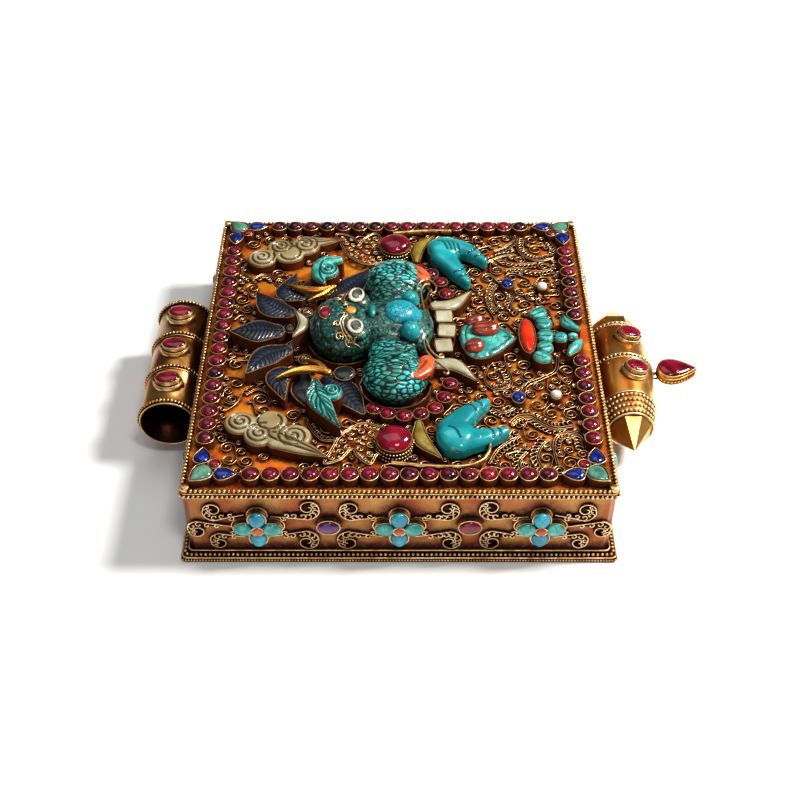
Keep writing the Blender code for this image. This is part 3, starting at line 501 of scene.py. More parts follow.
PETAL_BLUE = cut_stone(
    "petal blue", (0.004, 0.18, 0.28), (0.02, 0.46, 0.6), (0.01, 0.09, 0.07), (0.002, 0.016, 0.016),
    (240, 420), 0.05, 0.8, 0.2,
)
# Near-black copper for where only shade is seen, the tube's bore and the pads behind the wall's paisleys:
# painted shade.
SHADE_BLACK = gilt("sooted copper", (0.045, 0.018, 0.01), (0.022, 0.006, 0.006), (0.006, 0.002, 0.002), 1.5, 1, 300)
TUBE_METAL = gilt(
    "tube bronze", (0.54, 0.31, 0.1), (0.34, 0.13, 0.045), (0.05, 0.01, 0.008),
    2.6, 1.2, 80, 0.3,
)

# %% [markdown]
# ### Scales on the cheeks
# The cheeks carry small overlapping scales, each outlined by a dark cut. As faces they would take hundreds of
# thousands, so the shader cuts them. A Voronoi texture whose space is squeezed along one axis gives long
# cells that lie like scales. The distance to a cell's edge makes the dark line and the height of each scale.


# %% Scale material
SCALE_SHAKE = 0.0006


def scale_stone(name, turn):
    """Turquoise with scales that lie along a direction, turned by this angle."""
    made, tree, shader, place = shader_tree(name)
    squeeze = add(tree, "ShaderNodeMapping", {"Vector": place})
    squeeze.inputs["Rotation"].default_value = (0, 0, turn)
    squeeze.inputs["Scale"].default_value = (0.5, 1.15, 0.8)
    small = vector_maths(tree, "MULTIPLY", noise(tree, place, 500, 2, "Color"), (SCALE_SHAKE,) * 3)
    spot = vector_maths(tree, "ADD", squeeze.outputs[0], small)
    inputs = {"Vector": spot, "Scale": 800, "Randomness": 0.75}
    cell = add(tree, "ShaderNodeTexVoronoi", inputs, feature="DISTANCE_TO_EDGE")
    tone = add(tree, "ShaderNodeTexVoronoi", inputs, feature="F1")
    cut = remap(tree, cell.outputs["Distance"], 0.19, 0.07)
    tint = remap(tree, tone.outputs["Color"], 0.15, 0.85)
    body = blend(tree, tint, (0.02, 0.34, 0.33, 1), (0.1, 0.68, 0.62, 1))
    cloud = remap(tree, noise(tree, place, 130), 0.4, 0.62)
    green = blend(tree, cloud, body, (0.03, 0.22, 0.15, 1))
    lined = blend(tree, cut, green, (0.002, 0.01, 0.013, 1))
    close_by = add(tree, "ShaderNodeAmbientOcclusion", {"Distance": 3.0 * MM}, samples=6)
    shade = remap(tree, close_by.outputs["AO"], 0.8, 0.25, 0, 0.8)
    tree.links.new(blend(tree, shade, lined, (0.004, 0.016, 0.014, 1)), shader.inputs["Base Color"])
    shader.inputs["Roughness"].default_value = 0.28
    shader.inputs["Coat Weight"].default_value = 0.3
    bump(tree, shader, remap(tree, cell.outputs["Distance"], 0, 0.3), 0.7, 0.35)
    return made


SCALES_FRONT = scale_stone("scaled turquoise front", 0.6)
SCALES_BACK = scale_stone("scaled turquoise back", -0.3)

# %% [markdown]
# ## Drawing tools
# Most carved pieces here are tapering strokes: a leaf, a tusk or a cloud's tail follows a line and changes
# width along it. A stroke is kept as rows, each with a middle point, a sideways direction and half a width.
# The same rows give the stone's surface, the outline of its setting and the carver's lines, so the three fit.


# %% Strokes
def curve_through(values, count):
    """So many points, or numbers, along a smooth curve through evenly spaced ones."""
    values = np.asarray(values, float)
    if values.ndim == 1:
        values = values[:, None]
    padded = np.vstack([2 * values[0] - values[1], values, 2 * values[-1] - values[-2]])
    spot = np.linspace(0, 1, count) * (len(values) - 1)
    index = np.minimum(spot.astype(int), len(values) - 2)
    t = (spot - index)[:, None]
    before, start, end, after = (padded[index + step] for step in range(4))
    linear = (end - before) * t
    square = (2 * before - 5 * start + 4 * end - after) * t**2
    cube = (3 * start - before - 3 * end + after) * t**3
    return (2 * start + linear + square + cube) / 2


def directions(points):
    """The direction of travel at each point of a line, one long."""
    along = np.gradient(points, axis=0)
    return along / np.linalg.norm(along, axis=1)[:, None]


def sideways(along):
    return np.stack([-along[:, 1], along[:, 0]], axis=1)


def stroke(path, widths, steps=40, cap_steps=7, cap_reach=0.87):
    """Rows along a smooth path. An end of some width is rounded, and one of none is a tip."""
    middle = curve_through(path, steps + 1)
    along = directions(middle)
    half = np.maximum(curve_through(widths, steps + 1)[:, 0], 0) / 2
    side = sideways(along)
    turns = np.linspace(0, pi / 2, cap_steps + 1)[:-1]
    if widths[0]:
        reach = half[0] * cap_reach * np.cos(turns)[:, None]
        middle = np.vstack([middle[0] - along[0] * reach, middle])
        half = np.concatenate([half[0] * np.sin(turns), half])
        side = np.vstack([np.repeat(side[:1], cap_steps, axis=0), side])
    if widths[-1]:
        reach = half[-1] * cap_reach * np.cos(turns[::-1])[:, None]
        middle = np.vstack([middle, middle[-1] + along[-1] * reach])
        half = np.concatenate([half, half[-1] * np.sin(turns[::-1])])
        side = np.vstack([side, np.repeat(side[-1:], cap_steps, axis=0)])
    return middle, side, half


def oval(x, y, half_length, half_width, turn=0.0, steps=28):
    """Rows of an oval about its middle."""
    angles = np.linspace(0, pi, steps + 1)
    ahead = np.array([cos(turn), sin(turn)])
    middle = np.array([x, y]) - np.cos(angles)[:, None] * half_length * ahead
    side = np.repeat([[-ahead[1], ahead[0]]], steps + 1, axis=0)
    return middle, side, half_width * np.sin(angles)


def drop(x, y, length, width, heading, steps=30):
    """Rows of a teardrop about its middle, with its tip towards the heading."""
    angles = np.linspace(pi, 0, steps + 1)
    ahead = np.array([cos(heading), sin(heading)])
    middle = np.array([x, y]) + np.cos(angles)[:, None] * length / 2 * ahead
    side = np.repeat([[-ahead[1], ahead[0]]], steps + 1, axis=0)
    widest = 0.77
    return middle, side, width / 2 * np.sin(angles) * np.sin(angles / 2) / widest


def mirrored(rows):
    """The same rows on the other side of the face's middle line."""
    middle, side, half = rows
    flip = np.array([1, -1])
    return middle * flip, side * -flip, half


def between(rows, share):
    """The line that keeps this share of the way from the rows' middle to their edge."""
    middle, side, half = rows
    return middle + side * half[:, None] * share


def level(line, height):
    """A line seen from above, set at one height."""
    flat = np.asarray(line)[:, :2]
    return np.column_stack([flat, np.full(len(flat), height)])


def outline(rows, grow, height):
    """The closed outline of the rows, grown outwards and set at this height."""
    middle, side, half = rows
    first, last = middle[1] - middle[0], middle[-1] - middle[-2]
    start = middle[0] - first / np.linalg.norm(first) * grow
    end = middle[-1] + last / np.linalg.norm(last) * grow
    left = middle + side * (half + grow)[:, None]
    right = middle - side * (half + grow)[:, None]
    return level(np.vstack([start, left[1:-1], end, right[-2:0:-1]]), height)


def surface(rows, floor, edge, top, columns=16, fullness=1.0):
    """A closed body over the rows: upright walls from the floor to the edge, and a dome above them."""
    middle, side, half = rows
    angles = np.linspace(-pi / 2, pi / 2, columns + 1)
    lift = np.sqrt(half / half.max())
    flat = middle[:, None] + side[:, None] * (half[:, None] * np.sin(angles))[:, :, None]
    height = edge + (top - edge) * lift[:, None] * np.cos(angles) ** fullness
    count, width = height.shape
    dome = np.concatenate([flat, height[:, :, None]], axis=2).reshape(-1, 3)
    feet = [level(flat[:, column], floor) for column in (0, -1)]
    left_foot, right_foot = count * width, count * width + count
    faces = []
    for row in range(count - 1):
        for column in range(width - 1):
            near = row * width + column
            faces.append((near, near + width, near + width + 1, near + 1))
        first, last = row * width, row * width + width - 1
        left, right = left_foot + row, right_foot + row
        faces.append((first, left, left + 1, first + width))
        faces.append((last, last + width, right + 1, right))
        faces.append((left, right, right + 1, left + 1))
    return np.vstack([dome, *feet]), faces


# %% [markdown]
# A drawn body comes as points and faces. `solid` turns some of them into a mesh, and merges the points that
# meet at tips. `skinned` runs overlapping bodies together into one skin with a voxel remesh, as wax flows,
# and then smooths it: that is how lobes become a cloud.


# %% Meshes
def joined(bodies):
    """Several bodies' points and faces as one list of each."""
    points, faces, start = [], [], 0
    for body_points, body_faces in bodies:
        points.append(body_points)
        faces += [tuple(start + index for index in face) for face in body_faces]
        start += len(body_points)
    return np.vstack(points), faces


def solid(name, *bodies):
    """A mesh of closed bodies, with its normals outwards."""
    points, faces = joined(bodies)
    mesh = bpy.data.meshes.new(name)
    mesh.from_pydata(points.tolist(), [], faces)
    shape = bmesh.new()
    shape.from_mesh(mesh)
    bmesh.ops.remove_doubles(shape, verts=shape.verts, dist=1e-4)
    bmesh.ops.dissolve_degenerate(shape, edges=shape.edges, dist=1e-5)
    bmesh.ops.recalc_face_normals(shape, faces=shape.faces)
    shape.to_mesh(mesh)
    shape.free()
    return mesh


def plain_mesh(name, thing):
    """The evaluated shape of an object as a mesh of its own. The object is then thrown away."""
    view = bpy.context.evaluated_depsgraph_get()
    mesh = bpy.data.meshes.new_from_object(thing.evaluated_get(view))
    mesh.name = name
    bpy.data.objects.remove(thing)
    return mesh


def skinned(name, voxel, smoothing, *bodies):
    """One smooth skin round overlapping bodies."""
    holder = placed(name, solid(name, *bodies))
    remesh = holder.modifiers.new("Remesh", "REMESH")
    remesh.mode = "VOXEL"
    remesh.voxel_size = voxel
    smooth = holder.modifiers.new("Smooth", "SMOOTH")
    smooth.iterations = smoothing
    return plain_mesh(name, holder)


def lump(centre, radii, segments=24, rings=14):
    """A ball of these radii, as points and faces."""
    ball = bmesh.new()
    bmesh.ops.create_uvsphere(ball, u_segments=segments, v_segments=rings, radius=1.0)
    points = np.array([vert.co[:] for vert in ball.verts]) * np.array(radii) + np.array(centre)
    faces = [tuple(vert.index for vert in face.verts) for face in ball.faces]
    ball.free()
    return points, faces


def tree_of(points):
    """A tree that finds the nearest of these flat points."""
    tree = kdtree.KDTree(len(points))
    for index, point in enumerate(points):
        tree.insert((point[0], point[1], 0), index)
    tree.balance()
    return tree


FACES_UP = 0.15


def engrave(mesh, lines, width, depth):
    """Cuts grooves along lines, seen from above, and keeps their places in the attribute named carving."""
    tree = tree_of(np.vstack([dense(line)[:, :2] for line in lines]))
    count = len(mesh.vertices)
    places = np.empty(count * 3, np.float32)
    normals = np.empty(count * 3, np.float32)
    mesh.vertices.foreach_get("co", places)
    mesh.vertices.foreach_get("normal", normals)
    places = places.reshape(-1, 3)
    shares = np.zeros(count, np.float32)
    for index in np.flatnonzero(normals[2::3] > FACES_UP):
        distance = tree.find((places[index, 0], places[index, 1], 0))[2]
        shares[index] = exp(-((distance / width) ** 2))
    places[:, 2] -= depth * shares
    mesh.vertices.foreach_set("co", places.ravel())
    mesh.attributes.new("carving", "FLOAT", "POINT").data.foreach_set("value", shares)


def dense(points, gap=0.12):
    """The same line with a point every so often."""
    points = np.asarray(points, float)
    lengths = np.concatenate([[0], np.cumsum(np.linalg.norm(np.diff(points, axis=0), axis=1))])
    spots = np.linspace(0, lengths[-1], max(int(lengths[-1] / gap), 2))
    return np.column_stack([np.interp(spots, lengths, axis) for axis in points.T])


def piece(name, mesh, material, replaces=(), stand=Matrix(), flat=False):
    """The finished piece: put in its place in metres, given its material, and set on the box."""
    mesh.transform(Matrix.Scale(MM, 4) @ stand)
    mesh.materials.clear()
    mesh.materials.append(material)
    mesh.polygons.foreach_set("use_smooth", [not flat] * len(mesh.polygons))
    made = placed(name, mesh)
    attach(made, "root")
    if replaces:
        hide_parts(*replaces)
    return made


# %% [markdown]
# ## Wire and beads
# A goldsmith lays wire along a line, and Geometry Nodes do the same. One tree sweeps a profile along lines:
# round for wire, flat and upright for the strip that holds a stone. The other strings balls along lines at an
# even pitch. Both take loose edges as their lines and end in Realize Instances and Set Material, so the
# result is real faces with a finish.


# %% Geometry node trees
def open_tree(name, numbers):
    """A geometry node tree with these number inputs, and its group input and output nodes."""
    tree = bpy.data.node_groups.new(name, "GeometryNodeTree")
    tree.interface.new_socket("Geometry", in_out="INPUT", socket_type="NodeSocketGeometry")
    for label in numbers:
        tree.interface.new_socket(label, in_out="INPUT", socket_type="NodeSocketFloat")
    tree.interface.new_socket("Material", in_out="INPUT", socket_type="NodeSocketMaterial")
    tree.interface.new_socket("Geometry", in_out="OUTPUT", socket_type="NodeSocketGeometry")
    return tree, tree.nodes.new("NodeGroupInput").outputs, tree.nodes.new("NodeGroupOutput")


def close_tree(tree, inputs, output, geometry):
    """Ends a tree: instances become real faces, with the material."""
    real = add(tree, "GeometryNodeRealizeInstances", {"Geometry": geometry})
    finish = {"Geometry": real.outputs["Geometry"], "Material": inputs["Material"]}
    painted = add(tree, "GeometryNodeSetMaterial", finish)
    tree.links.new(painted.outputs["Geometry"], output.inputs["Geometry"])


def sweep_tree(name, sides, spin, radius):
    """A tree that sweeps a profile of this many sides along lines, of the given width and height."""
    tree, inputs, output = open_tree(name, ("Width", "Height"))
    lines = add(tree, "GeometryNodeMeshToCurve", {"Mesh": inputs["Geometry"]})
    upright = add(tree, "GeometryNodeSetCurveNormal", {"Curve": lines.outputs["Curve"]})
    upright.mode = "Z_UP"
    ring = add(tree, "GeometryNodeCurvePrimitiveCircle", {"Resolution": sides, "Radius": radius})
    size = add(tree, "ShaderNodeCombineXYZ", {"X": inputs["Width"], "Y": inputs["Height"], "Z": 1.0})
    spun = add(tree, "GeometryNodeTransform", {"Geometry": ring.outputs["Curve"], "Rotation": (0, 0, spin)})
    scaled = add(tree, "GeometryNodeTransform", {"Geometry": spun.outputs[0], "Scale": size.outputs[0]})
    sweep = {"Curve": upright.outputs[0], "Profile Curve": scaled.outputs[0], "Fill Caps": True}
    close_tree(tree, inputs, output, add(tree, "GeometryNodeCurveToMesh", sweep).outputs["Mesh"])
    return tree


wire_tree = sweep_tree("wire along lines", 6, 0, 0.5)
band_tree = sweep_tree("strip along lines", 4, radians(45), sqrt(0.5))

bead_tree, bead_in, bead_output = open_tree("beads along lines", ("Pitch", "Radius"))
bead_lines = add(bead_tree, "GeometryNodeMeshToCurve", {"Mesh": bead_in["Geometry"]})
spaced = add(bead_tree, "GeometryNodeResampleCurve", {"Curve": bead_lines.outputs["Curve"]})
spaced.mode = "LENGTH"
bead_tree.links.new(bead_in["Pitch"], spaced.inputs["Length"])
ball = {"Segments": 8, "Rings": 5, "Radius": bead_in["Radius"]}
one_bead = add(bead_tree, "GeometryNodeMeshUVSphere", ball).outputs["Mesh"]
strung = {"Points": spaced.outputs["Curve"], "Instance": one_bead}
beads_there = add(bead_tree, "GeometryNodeInstanceOnPoints", strung).outputs["Instances"]
close_tree(bead_tree, bead_in, bead_output, beads_there)


def lines_mesh(name, lines, closed):
    """Loose edges along each of the lines."""
    points = np.vstack(lines)
    edges, start = [], 0
    for each in lines:
        last = start + len(each) - 1
        edges += [(index, index + 1) for index in range(start, last)]
        if closed:
            edges.append((last, start))
        start = last + 1
    mesh = bpy.data.meshes.new(name)
    mesh.from_pydata(points.tolist(), edges, [])
    return mesh


def grow(name, lines, tree, material, closed=False, **numbers):
    """The mesh that a node tree makes of the lines."""
    holder = placed(name, lines_mesh(name, lines, closed))
    step = holder.modifiers.new(tree.name, "NODES")
    step.node_group = tree
    values = {label: float(number) for label, number in numbers.items()}
    values["Material"] = material
    for socket in tree.interface.items_tree:
        if socket.in_out == "INPUT" and socket.name in values:
            step[socket.identifier] = values[socket.name]
    return plain_mesh(name, holder)


def wire_mesh(lines, width, material=WIRE, height=None, closed=True):
    """Wire of this width along lines, round unless it has a height of its own."""
    return grow("wire", lines, wire_tree, material, closed, Width=width, Height=height or width)


def bead_mesh(lines, pitch, radius, material=WIRE):
    """Beads strung along closed lines."""
    return grow("beads", lines, bead_tree, material, True, Pitch=pitch, Radius=radius)


def wires(name, lines, width, material=WIRE, height=None, closed=False):
    """A piece of wire along lines."""
    return piece(name, wire_mesh(lines, width, material, height, closed), material)


print("trees:", ", ".join(tree.name for tree in (wire_tree, band_tree, bead_tree)))

# %% [markdown]
# ## The box
# The walls and the face are one sheet, yet the walls are rubbed to a satin bronze, and the face keeps its red
# lacquer between the wires. One material does both: a surface that faces up is the face, so the shader mixes
# two gilding recipes by the upward part of the normal.

# %% Shell and cover
box_gilding, box_tree, box_shader, box_place = shader_tree("box gilding")
recipes = []
for source, reach, lean in ((WALL, 4.6, 0.8), (PLATE, 3.2, 0)):
    other = next(node for node in source.node_tree.nodes if node.type == "GROUP")
    recipe = add(box_tree, "ShaderNodeGroup", {"Place": box_place}, node_tree=gilding)
    for label in ("Gold", "Copper", "Grime", "Dirt", "Grain"):
        recipe.inputs[label].default_value = other.inputs[label].default_value
    # Ambient occlusion darkens the corners of both recipes as painted shade with grime; on the walls it looks
    # downwards, so the darkening gathers above whatever stands out.
    openness(box_tree, recipe, reach, lean)
    recipes.append(recipe)
normal = add(box_tree, "ShaderNodeNewGeometry").outputs["Normal"]
facing = add(box_tree, "ShaderNodeSeparateXYZ", {"Vector": normal})
upward = remap(box_tree, facing.outputs["Z"], 0.4, 0.8)
both = blend(box_tree, upward, recipes[0].outputs["Colour"], recipes[1].outputs["Colour"])
box_tree.links.new(both, box_shader.inputs["Base Color"])
box_tree.links.new(recipes[0].outputs["Roughness"], box_shader.inputs["Roughness"])
box_shader.inputs["Metallic"].default_value = 0.75
bump(box_tree, box_shader, recipes[0].outputs["Height"], 0.3, 0.3)

for name, finish in (("front_shell", box_gilding), ("back_cover", WALL)):
    nodes[name].data.materials.clear()
    nodes[name].data.materials.append(finish)
print("kept as CAD made them:", "front_shell, back_cover")

# %% [markdown]
# Beaded wire runs round the box: one row stands on the edge of the face, one lies just below it, and one
# closes the foot. Plain wires run beside them.

# %% Beaded rims
BEAD_PITCH = 1.2
BEAD_RADIUS = 0.5


def rounded_rectangle(grow_by, height, radius=1.2, steps=4):
    """A closed line round the box, outside its walls by this much."""
    reach_x, reach_y = half_x + grow_by - radius, half_y + grow_by - radius
    points = []
    for quarter, (side_x, side_y) in enumerate(((1, 1), (-1, 1), (-1, -1), (1, -1))):
        for turn in np.linspace(0, pi / 2, steps + 1) + quarter * pi / 2:
            x = side_x * reach_x + radius * cos(turn)
            y = side_y * reach_y + radius * sin(turn)
            points.append((x, y, height))
    return np.array(points)


COVER_TOP = 1.4
COVER_REACH = 2.1
rim_z = box_mm("rim_wire_lower")[0].z + 0.42
rows_of_beads = {
    "rim_beads_upper": (rounded_rectangle(-0.25, face_z + BEAD_RADIUS + 0.1), "rim_wire_upper"),
    "rim_beads_lower": (rounded_rectangle(BEAD_RADIUS - 0.1, rim_z), "rim_wire_lower"),
    "base_beads": (rounded_rectangle(1.15, COVER_TOP + BEAD_RADIUS), "base_wire"),
}
for name, (line, node) in rows_of_beads.items():
    piece(name, bead_mesh([line], BEAD_PITCH, BEAD_RADIUS, BEADS), BEADS, replaces=[node])
plain = [
    rounded_rectangle(0.1, rim_z + 0.75),
    rounded_rectangle(0.1, rim_z - 0.75),
    rounded_rectangle(0.3, COVER_TOP + 1.15),
    rounded_rectangle(COVER_REACH - 0.2, COVER_TOP),
]
wires("rim_plain_wires", plain, 0.5, BEADS, closed=True)
foot_line = rounded_rectangle(COVER_REACH, 0.75, 0.7)
piece("foot_fine_beads", bead_mesh([foot_line], 0.75, 0.36, BEADS), BEADS)
corners = [(x * (half_x - 1), y * (half_y - 1)) for x in (-1, 1) for y in (-1, 1)]
studs = [oval(x, y, 1.15, 1.15, steps=12) for x, y in corners]
studs = [surface(rows, face_z, face_z + 1.2, face_z + 1.65, 8) for rows in studs]
piece("corner_studs", solid("corner studs", *studs), BEADS)
print("beads in the upper row:", round(4 * (half_x + half_y) / BEAD_PITCH))

# %% [markdown]
# ## The border of rubies
# Each ruby is a cabochon in a collet, a short tube of thin gold that grips the stone's edge. There are over
# sixty alike, so a node tree sets them: it takes loose points and puts a flattened ball on each. Only the
# corner clusters of lapis and sea green stone are shaped singly.

# %% Cabochons on points
cabochon_tree, cab_in, cab_out = open_tree("cabochons on points", ("Radius", "Rise"))
dome = add(cabochon_tree, "GeometryNodeMeshUVSphere", {"Segments": 16, "Rings": 10, "Radius": 1.0})
radii = {"X": cab_in["Radius"], "Y": cab_in["Radius"], "Z": cab_in["Rise"]}
dome_size = add(cabochon_tree, "ShaderNodeCombineXYZ", radii).outputs[0]
flattened = {"Geometry": dome.outputs["Mesh"], "Scale": dome_size}
domed = add(cabochon_tree, "GeometryNodeTransform", flattened).outputs["Geometry"]
spots = add(cabochon_tree, "GeometryNodeMeshToPoints", {"Mesh": cab_in["Geometry"]})
setting = {"Points": spots.outputs["Points"], "Instance": domed}
stones_set = add(cabochon_tree, "GeometryNodeInstanceOnPoints", setting).outputs["Instances"]
close_tree(cabochon_tree, cab_in, cab_out, stones_set)


def cabochons(name, points, radius, rise, material, node):
    """Rubies of this radius and rise at the points, in place of a node."""
    spots_alone = [np.array([point]) for point in points]
    mesh = grow(name, spots_alone, cabochon_tree, material, Radius=radius, Rise=rise)
    piece(name, mesh, material, [node])


def around(steps):
    """Angles spread evenly over one turn."""
    return np.linspace(0, 2 * pi, steps + 1)[:-1]


def circle(x, y, radius, height=0, steps=20):
    """A closed line round a point."""
    turns = around(steps)
    return level(np.column_stack([x + radius * np.cos(turns), y + radius * np.sin(turns)]), height)


# %% Collets
COLLET_WALL = 0.32


def collet_mesh(lines, floor, rim, wall=COLLET_WALL):
    """Upright strips round closed outlines, from the floor up to the rim."""
    middles = [level(line, (floor + rim) / 2) for line in lines]
    return grow("collet", middles, band_tree, COLLET, True, Width=wall, Height=rim - floor)


def together(*meshes):
    """Several meshes as one."""
    shape = bmesh.new()
    for mesh in meshes:
        shape.from_mesh(mesh)
        bpy.data.meshes.remove(mesh)
    made = bpy.data.meshes.new("together")
    shape.to_mesh(made)
    shape.free()
    return made


def settings(name, rims, rim, lip_height, lip_width, wall=0.34):
    """Collets that stand on the face round closed outlines, with fine wire on their lips."""
    lips = wire_mesh([level(line, lip_height) for line in rims], lip_width)
    piece(name, together(collet_mesh(rims, face_z, rim, wall), lips), COLLET, flat=True)


# %% Border stones
ROW_INSET = 4.5
RUBY_PITCH = 4.97
RUBY_SIZE = 2.3
DROP_LENGTH = 6.0
CORNER_DROP = 6.6
LOTUS_HALF = 7.4
collet_rim = box_mm("border_front")[1].z - 0.55
row_x, row_y = half_x - ROW_INSET, half_y - ROW_INSET
arm = (DROP_LENGTH + CORNER_DROP) / 2
row_reach = arm + DROP_LENGTH / 2 + 2.65
sides_of_border = {
    "border_front": ((-1, -1), (1, -1)),
    "border_right": ((1, -1), (1, 1)),
    "border_back": ((1, 1), (-1, 1)),
    "border_left": ((-1, 1), (-1, -1)),
}
ruby_count = 0
for name, (first, last) in sides_of_border.items():
    start, end = np.array([first, last]) * (row_x, row_y)
    length = np.linalg.norm(end - start)
    ahead = (end - start) / length
    aside = np.array([-ahead[1], ahead[0]])
    run = length - 2 * row_reach
    count = int(run / RUBY_PITCH) + 1
    margin = row_reach + (run - RUBY_PITCH * (count - 1)) / 2
    row = [start + ahead * (margin + RUBY_PITCH * index) for index in range(count)]
    if name == "border_right":
        row = [spot for spot in row if abs(spot[1]) > LOTUS_HALF]
    ruby_count += len(row)
    inner = start + (ahead + aside) / sqrt(2) * 4.8
    cabochons(f"{name}_rubies", level(row, collet_rim - 0.15), RUBY_SIZE - 0.2, 1.35, ROW_RUBY, name)
    heading = atan2(ahead[1], ahead[0])
    drops = (
        ("lapis_a", LAPIS, drop(*(start + ahead * arm), DROP_LENGTH - 0.6, 3.9, heading)),
        ("lapis_b", LAPIS, drop(*(start + aside * arm), DROP_LENGTH - 0.6, 3.9, heading + pi / 2)),
        ("sea_green", SEA_GREEN, drop(*start, CORNER_DROP - 0.4, 5, heading + pi * 1.25)),
    )
    for label, finish, rows in drops:
        body = surface(rows, face_z + 0.5, collet_rim - 0.3, collet_rim + 0.75)
        piece(f"{name}_{label}", solid(label, body), finish)
    small = surface(oval(*inner, 1.4, 1.4, steps=14), face_z + 0.3, collet_rim - 0.3, collet_rim + 0.55, 10)
    piece(f"{name}_corner_ruby", solid("corner ruby", small), RUBY)
    rings = [circle(x, y, RUBY_SIZE) for x, y in row]
    rings += [outline(rows, 0.25, 0) for _, _, rows in drops] + [circle(*inner, 1.65, steps=12)]
    piece(f"{name}_collets", collet_mesh(rings, face_z, collet_rim), COLLET, flat=True)
    wires(f"{name}_lips", [level(ring, collet_rim) for ring in rings], 0.34, BEADS, closed=True)
print("rubies in the border:", ruby_count)

# %% [markdown]
# ## The walls
# All four walls carry flowers of four turquoise petals about a coral, with paisley scrolls of wire that curl
# away from them. The long walls have oval stones between. The ornament is drawn lying flat, and a matrix for
# each wall stands it upright.

# %% Wall matrices
WALL_MIDDLE = 13.0
WALL_SIDES = {
    "front": (Vector((0, -1, 0)), half_y),
    "back": (Vector((0, 1, 0)), half_y),
    "left": (Vector((-1, 0, 0)), half_x),
    "right": (Vector((1, 0, 0)), half_x),
}


def wall_matrix(side):
    """The matrix that takes a drawing's x along the wall, its y up the wall and its z outwards."""
    out, distance = WALL_SIDES[side]
    up = Vector((0, 0, 1))
    upright = Matrix((up.cross(out), up, out)).transposed().to_4x4()
    return Matrix.Translation(out * distance + up * WALL_MIDDLE) @ upright


def scroll(x, y, radius, turns, start, hand=1, inner=0.16, steps_a_turn=14):
    """A spiral of wire about a point, from its middle out to the angle at which it starts."""
    count = max(int(turns * steps_a_turn), 8)
    share = np.linspace(0, 1, count)
    reach = radius * (inner + (1 - inner) * share)
    angle = start - hand * (1 - share) * turns * 2 * pi
    return np.column_stack([x + reach * np.cos(angle), y + reach * np.sin(angle)])


# %% Wall ornaments
FLOWER_DOWN = -0.6
PETAL_REACH = 3.5
PETAL_LONG, PETAL_WIDE = 2.75, 2.35
WALL_WIRE = 0.36


def paisley(head_x, head_y, tail_x, tail_y, size, hooks):
    """A comma of wire with a row of hooks inside it, and the outline of the near-black pad that paints the
    shade inside it.

    Its stem leaves a flower at the tail, runs past the hooks and coils up about the head. It passes under the
    hooks when the head is high on the wall, and over them when the head is low.
    """
    out = copysign(1, head_x - tail_x)
    under = -1 if head_y > 0 else 1
    turns = np.linspace(0, 2.9 * pi, 36)
    shares = np.array([1.75, 1.12, 1, 0.74, 0.56, 0.36, 0.16])
    reach = np.interp(turns / pi, [0, 0.5, 1, 1.5, 2, 2.5, 2.9], shares * size)
    coil = np.column_stack([head_x + out * reach * np.sin(turns), head_y + under * reach * np.cos(turns)])
    bend = [tail_x * 0.45 + coil[0, 0] * 0.55, (tail_y + coil[0, 1]) / 2]
    stem = curve_through([[tail_x, tail_y], bend, coil[0]], 12)
    line = np.vstack([stem[:-1], coil])
    ahead = directions(line)
    inward = sideways(ahead) * under * -out
    lines = [line]
    for share in np.linspace(4, 20, hooks + 2).round().astype(int):
        tall = size * np.interp(share, [4, 12, 20], [0.55, 0.85, 0.5])
        steps = [(0, 0), (0.42, 0.36), (0.42, 0.78), (0, 0.98), (-0.34, 0.74), (-0.14, 0.55)]
        hook = [line[share] + tall * (on * ahead[share] + off * inward[share]) for on, off in steps]
        lines.append(curve_through(hook, 12))
    tip = line[3] + inward[3] * 0.3
    back = [tip, line[8] + inward[8] * size * 1.05, [head_x - out * size * 1.05, head_y + under * size * 0.2]]
    rim = np.vstack([line[4:32], curve_through(back[::-1], 10)])
    return lines, rim


def petal_reach(turn):
    """How far out a flower's petals reach in this direction: the farthest of the four ovals there."""
    farthest = PETAL_REACH * 0.7
    for quarter in range(4):
        off = turn - quarter * pi / 2
        square = (cos(off) / PETAL_LONG) ** 2 + (sin(off) / PETAL_WIDE) ** 2
        middle = PETAL_REACH * cos(off) / PETAL_LONG**2
        inside = middle**2 - square * ((PETAL_REACH / PETAL_LONG) ** 2 - 1)
        if inside > 0:
            farthest = max(farthest, (middle + sqrt(inside)) / square)
    return farthest


def flower(x):
    """Petals of one flower as bodies, their outlines, and the wires about the whole flower."""
    bodies, outlines = [], []
    for quarter in range(4):
        turn = quarter * pi / 2
        spot = (x + PETAL_REACH * cos(turn), FLOWER_DOWN + PETAL_REACH * sin(turn))
        rows = oval(*spot, PETAL_LONG - 0.15, PETAL_WIDE - 0.1, turn, 16)
        bodies.append(surface(rows, 0.1, 1.7, 2.9, 10))
        outlines.append(outline(rows, 0.15, 0))
    reach = np.array([petal_reach(turn) + 0.5 for turn in around(72)])
    round_all = circle(x, FLOWER_DOWN, reach, 0.25, 72)
    curls = []
    for way_x in (-1, 1):
        for way_y in (-1, 1):
            curl = scroll(0, 0, 0.85, 1.1, -0.4, 1, 0.3, 12) * [way_x, way_y]
            curls.append(curl + [x + way_x * 6.5, FLOWER_DOWN + way_y * 2.9])
    return bodies, outlines, round_all, curls


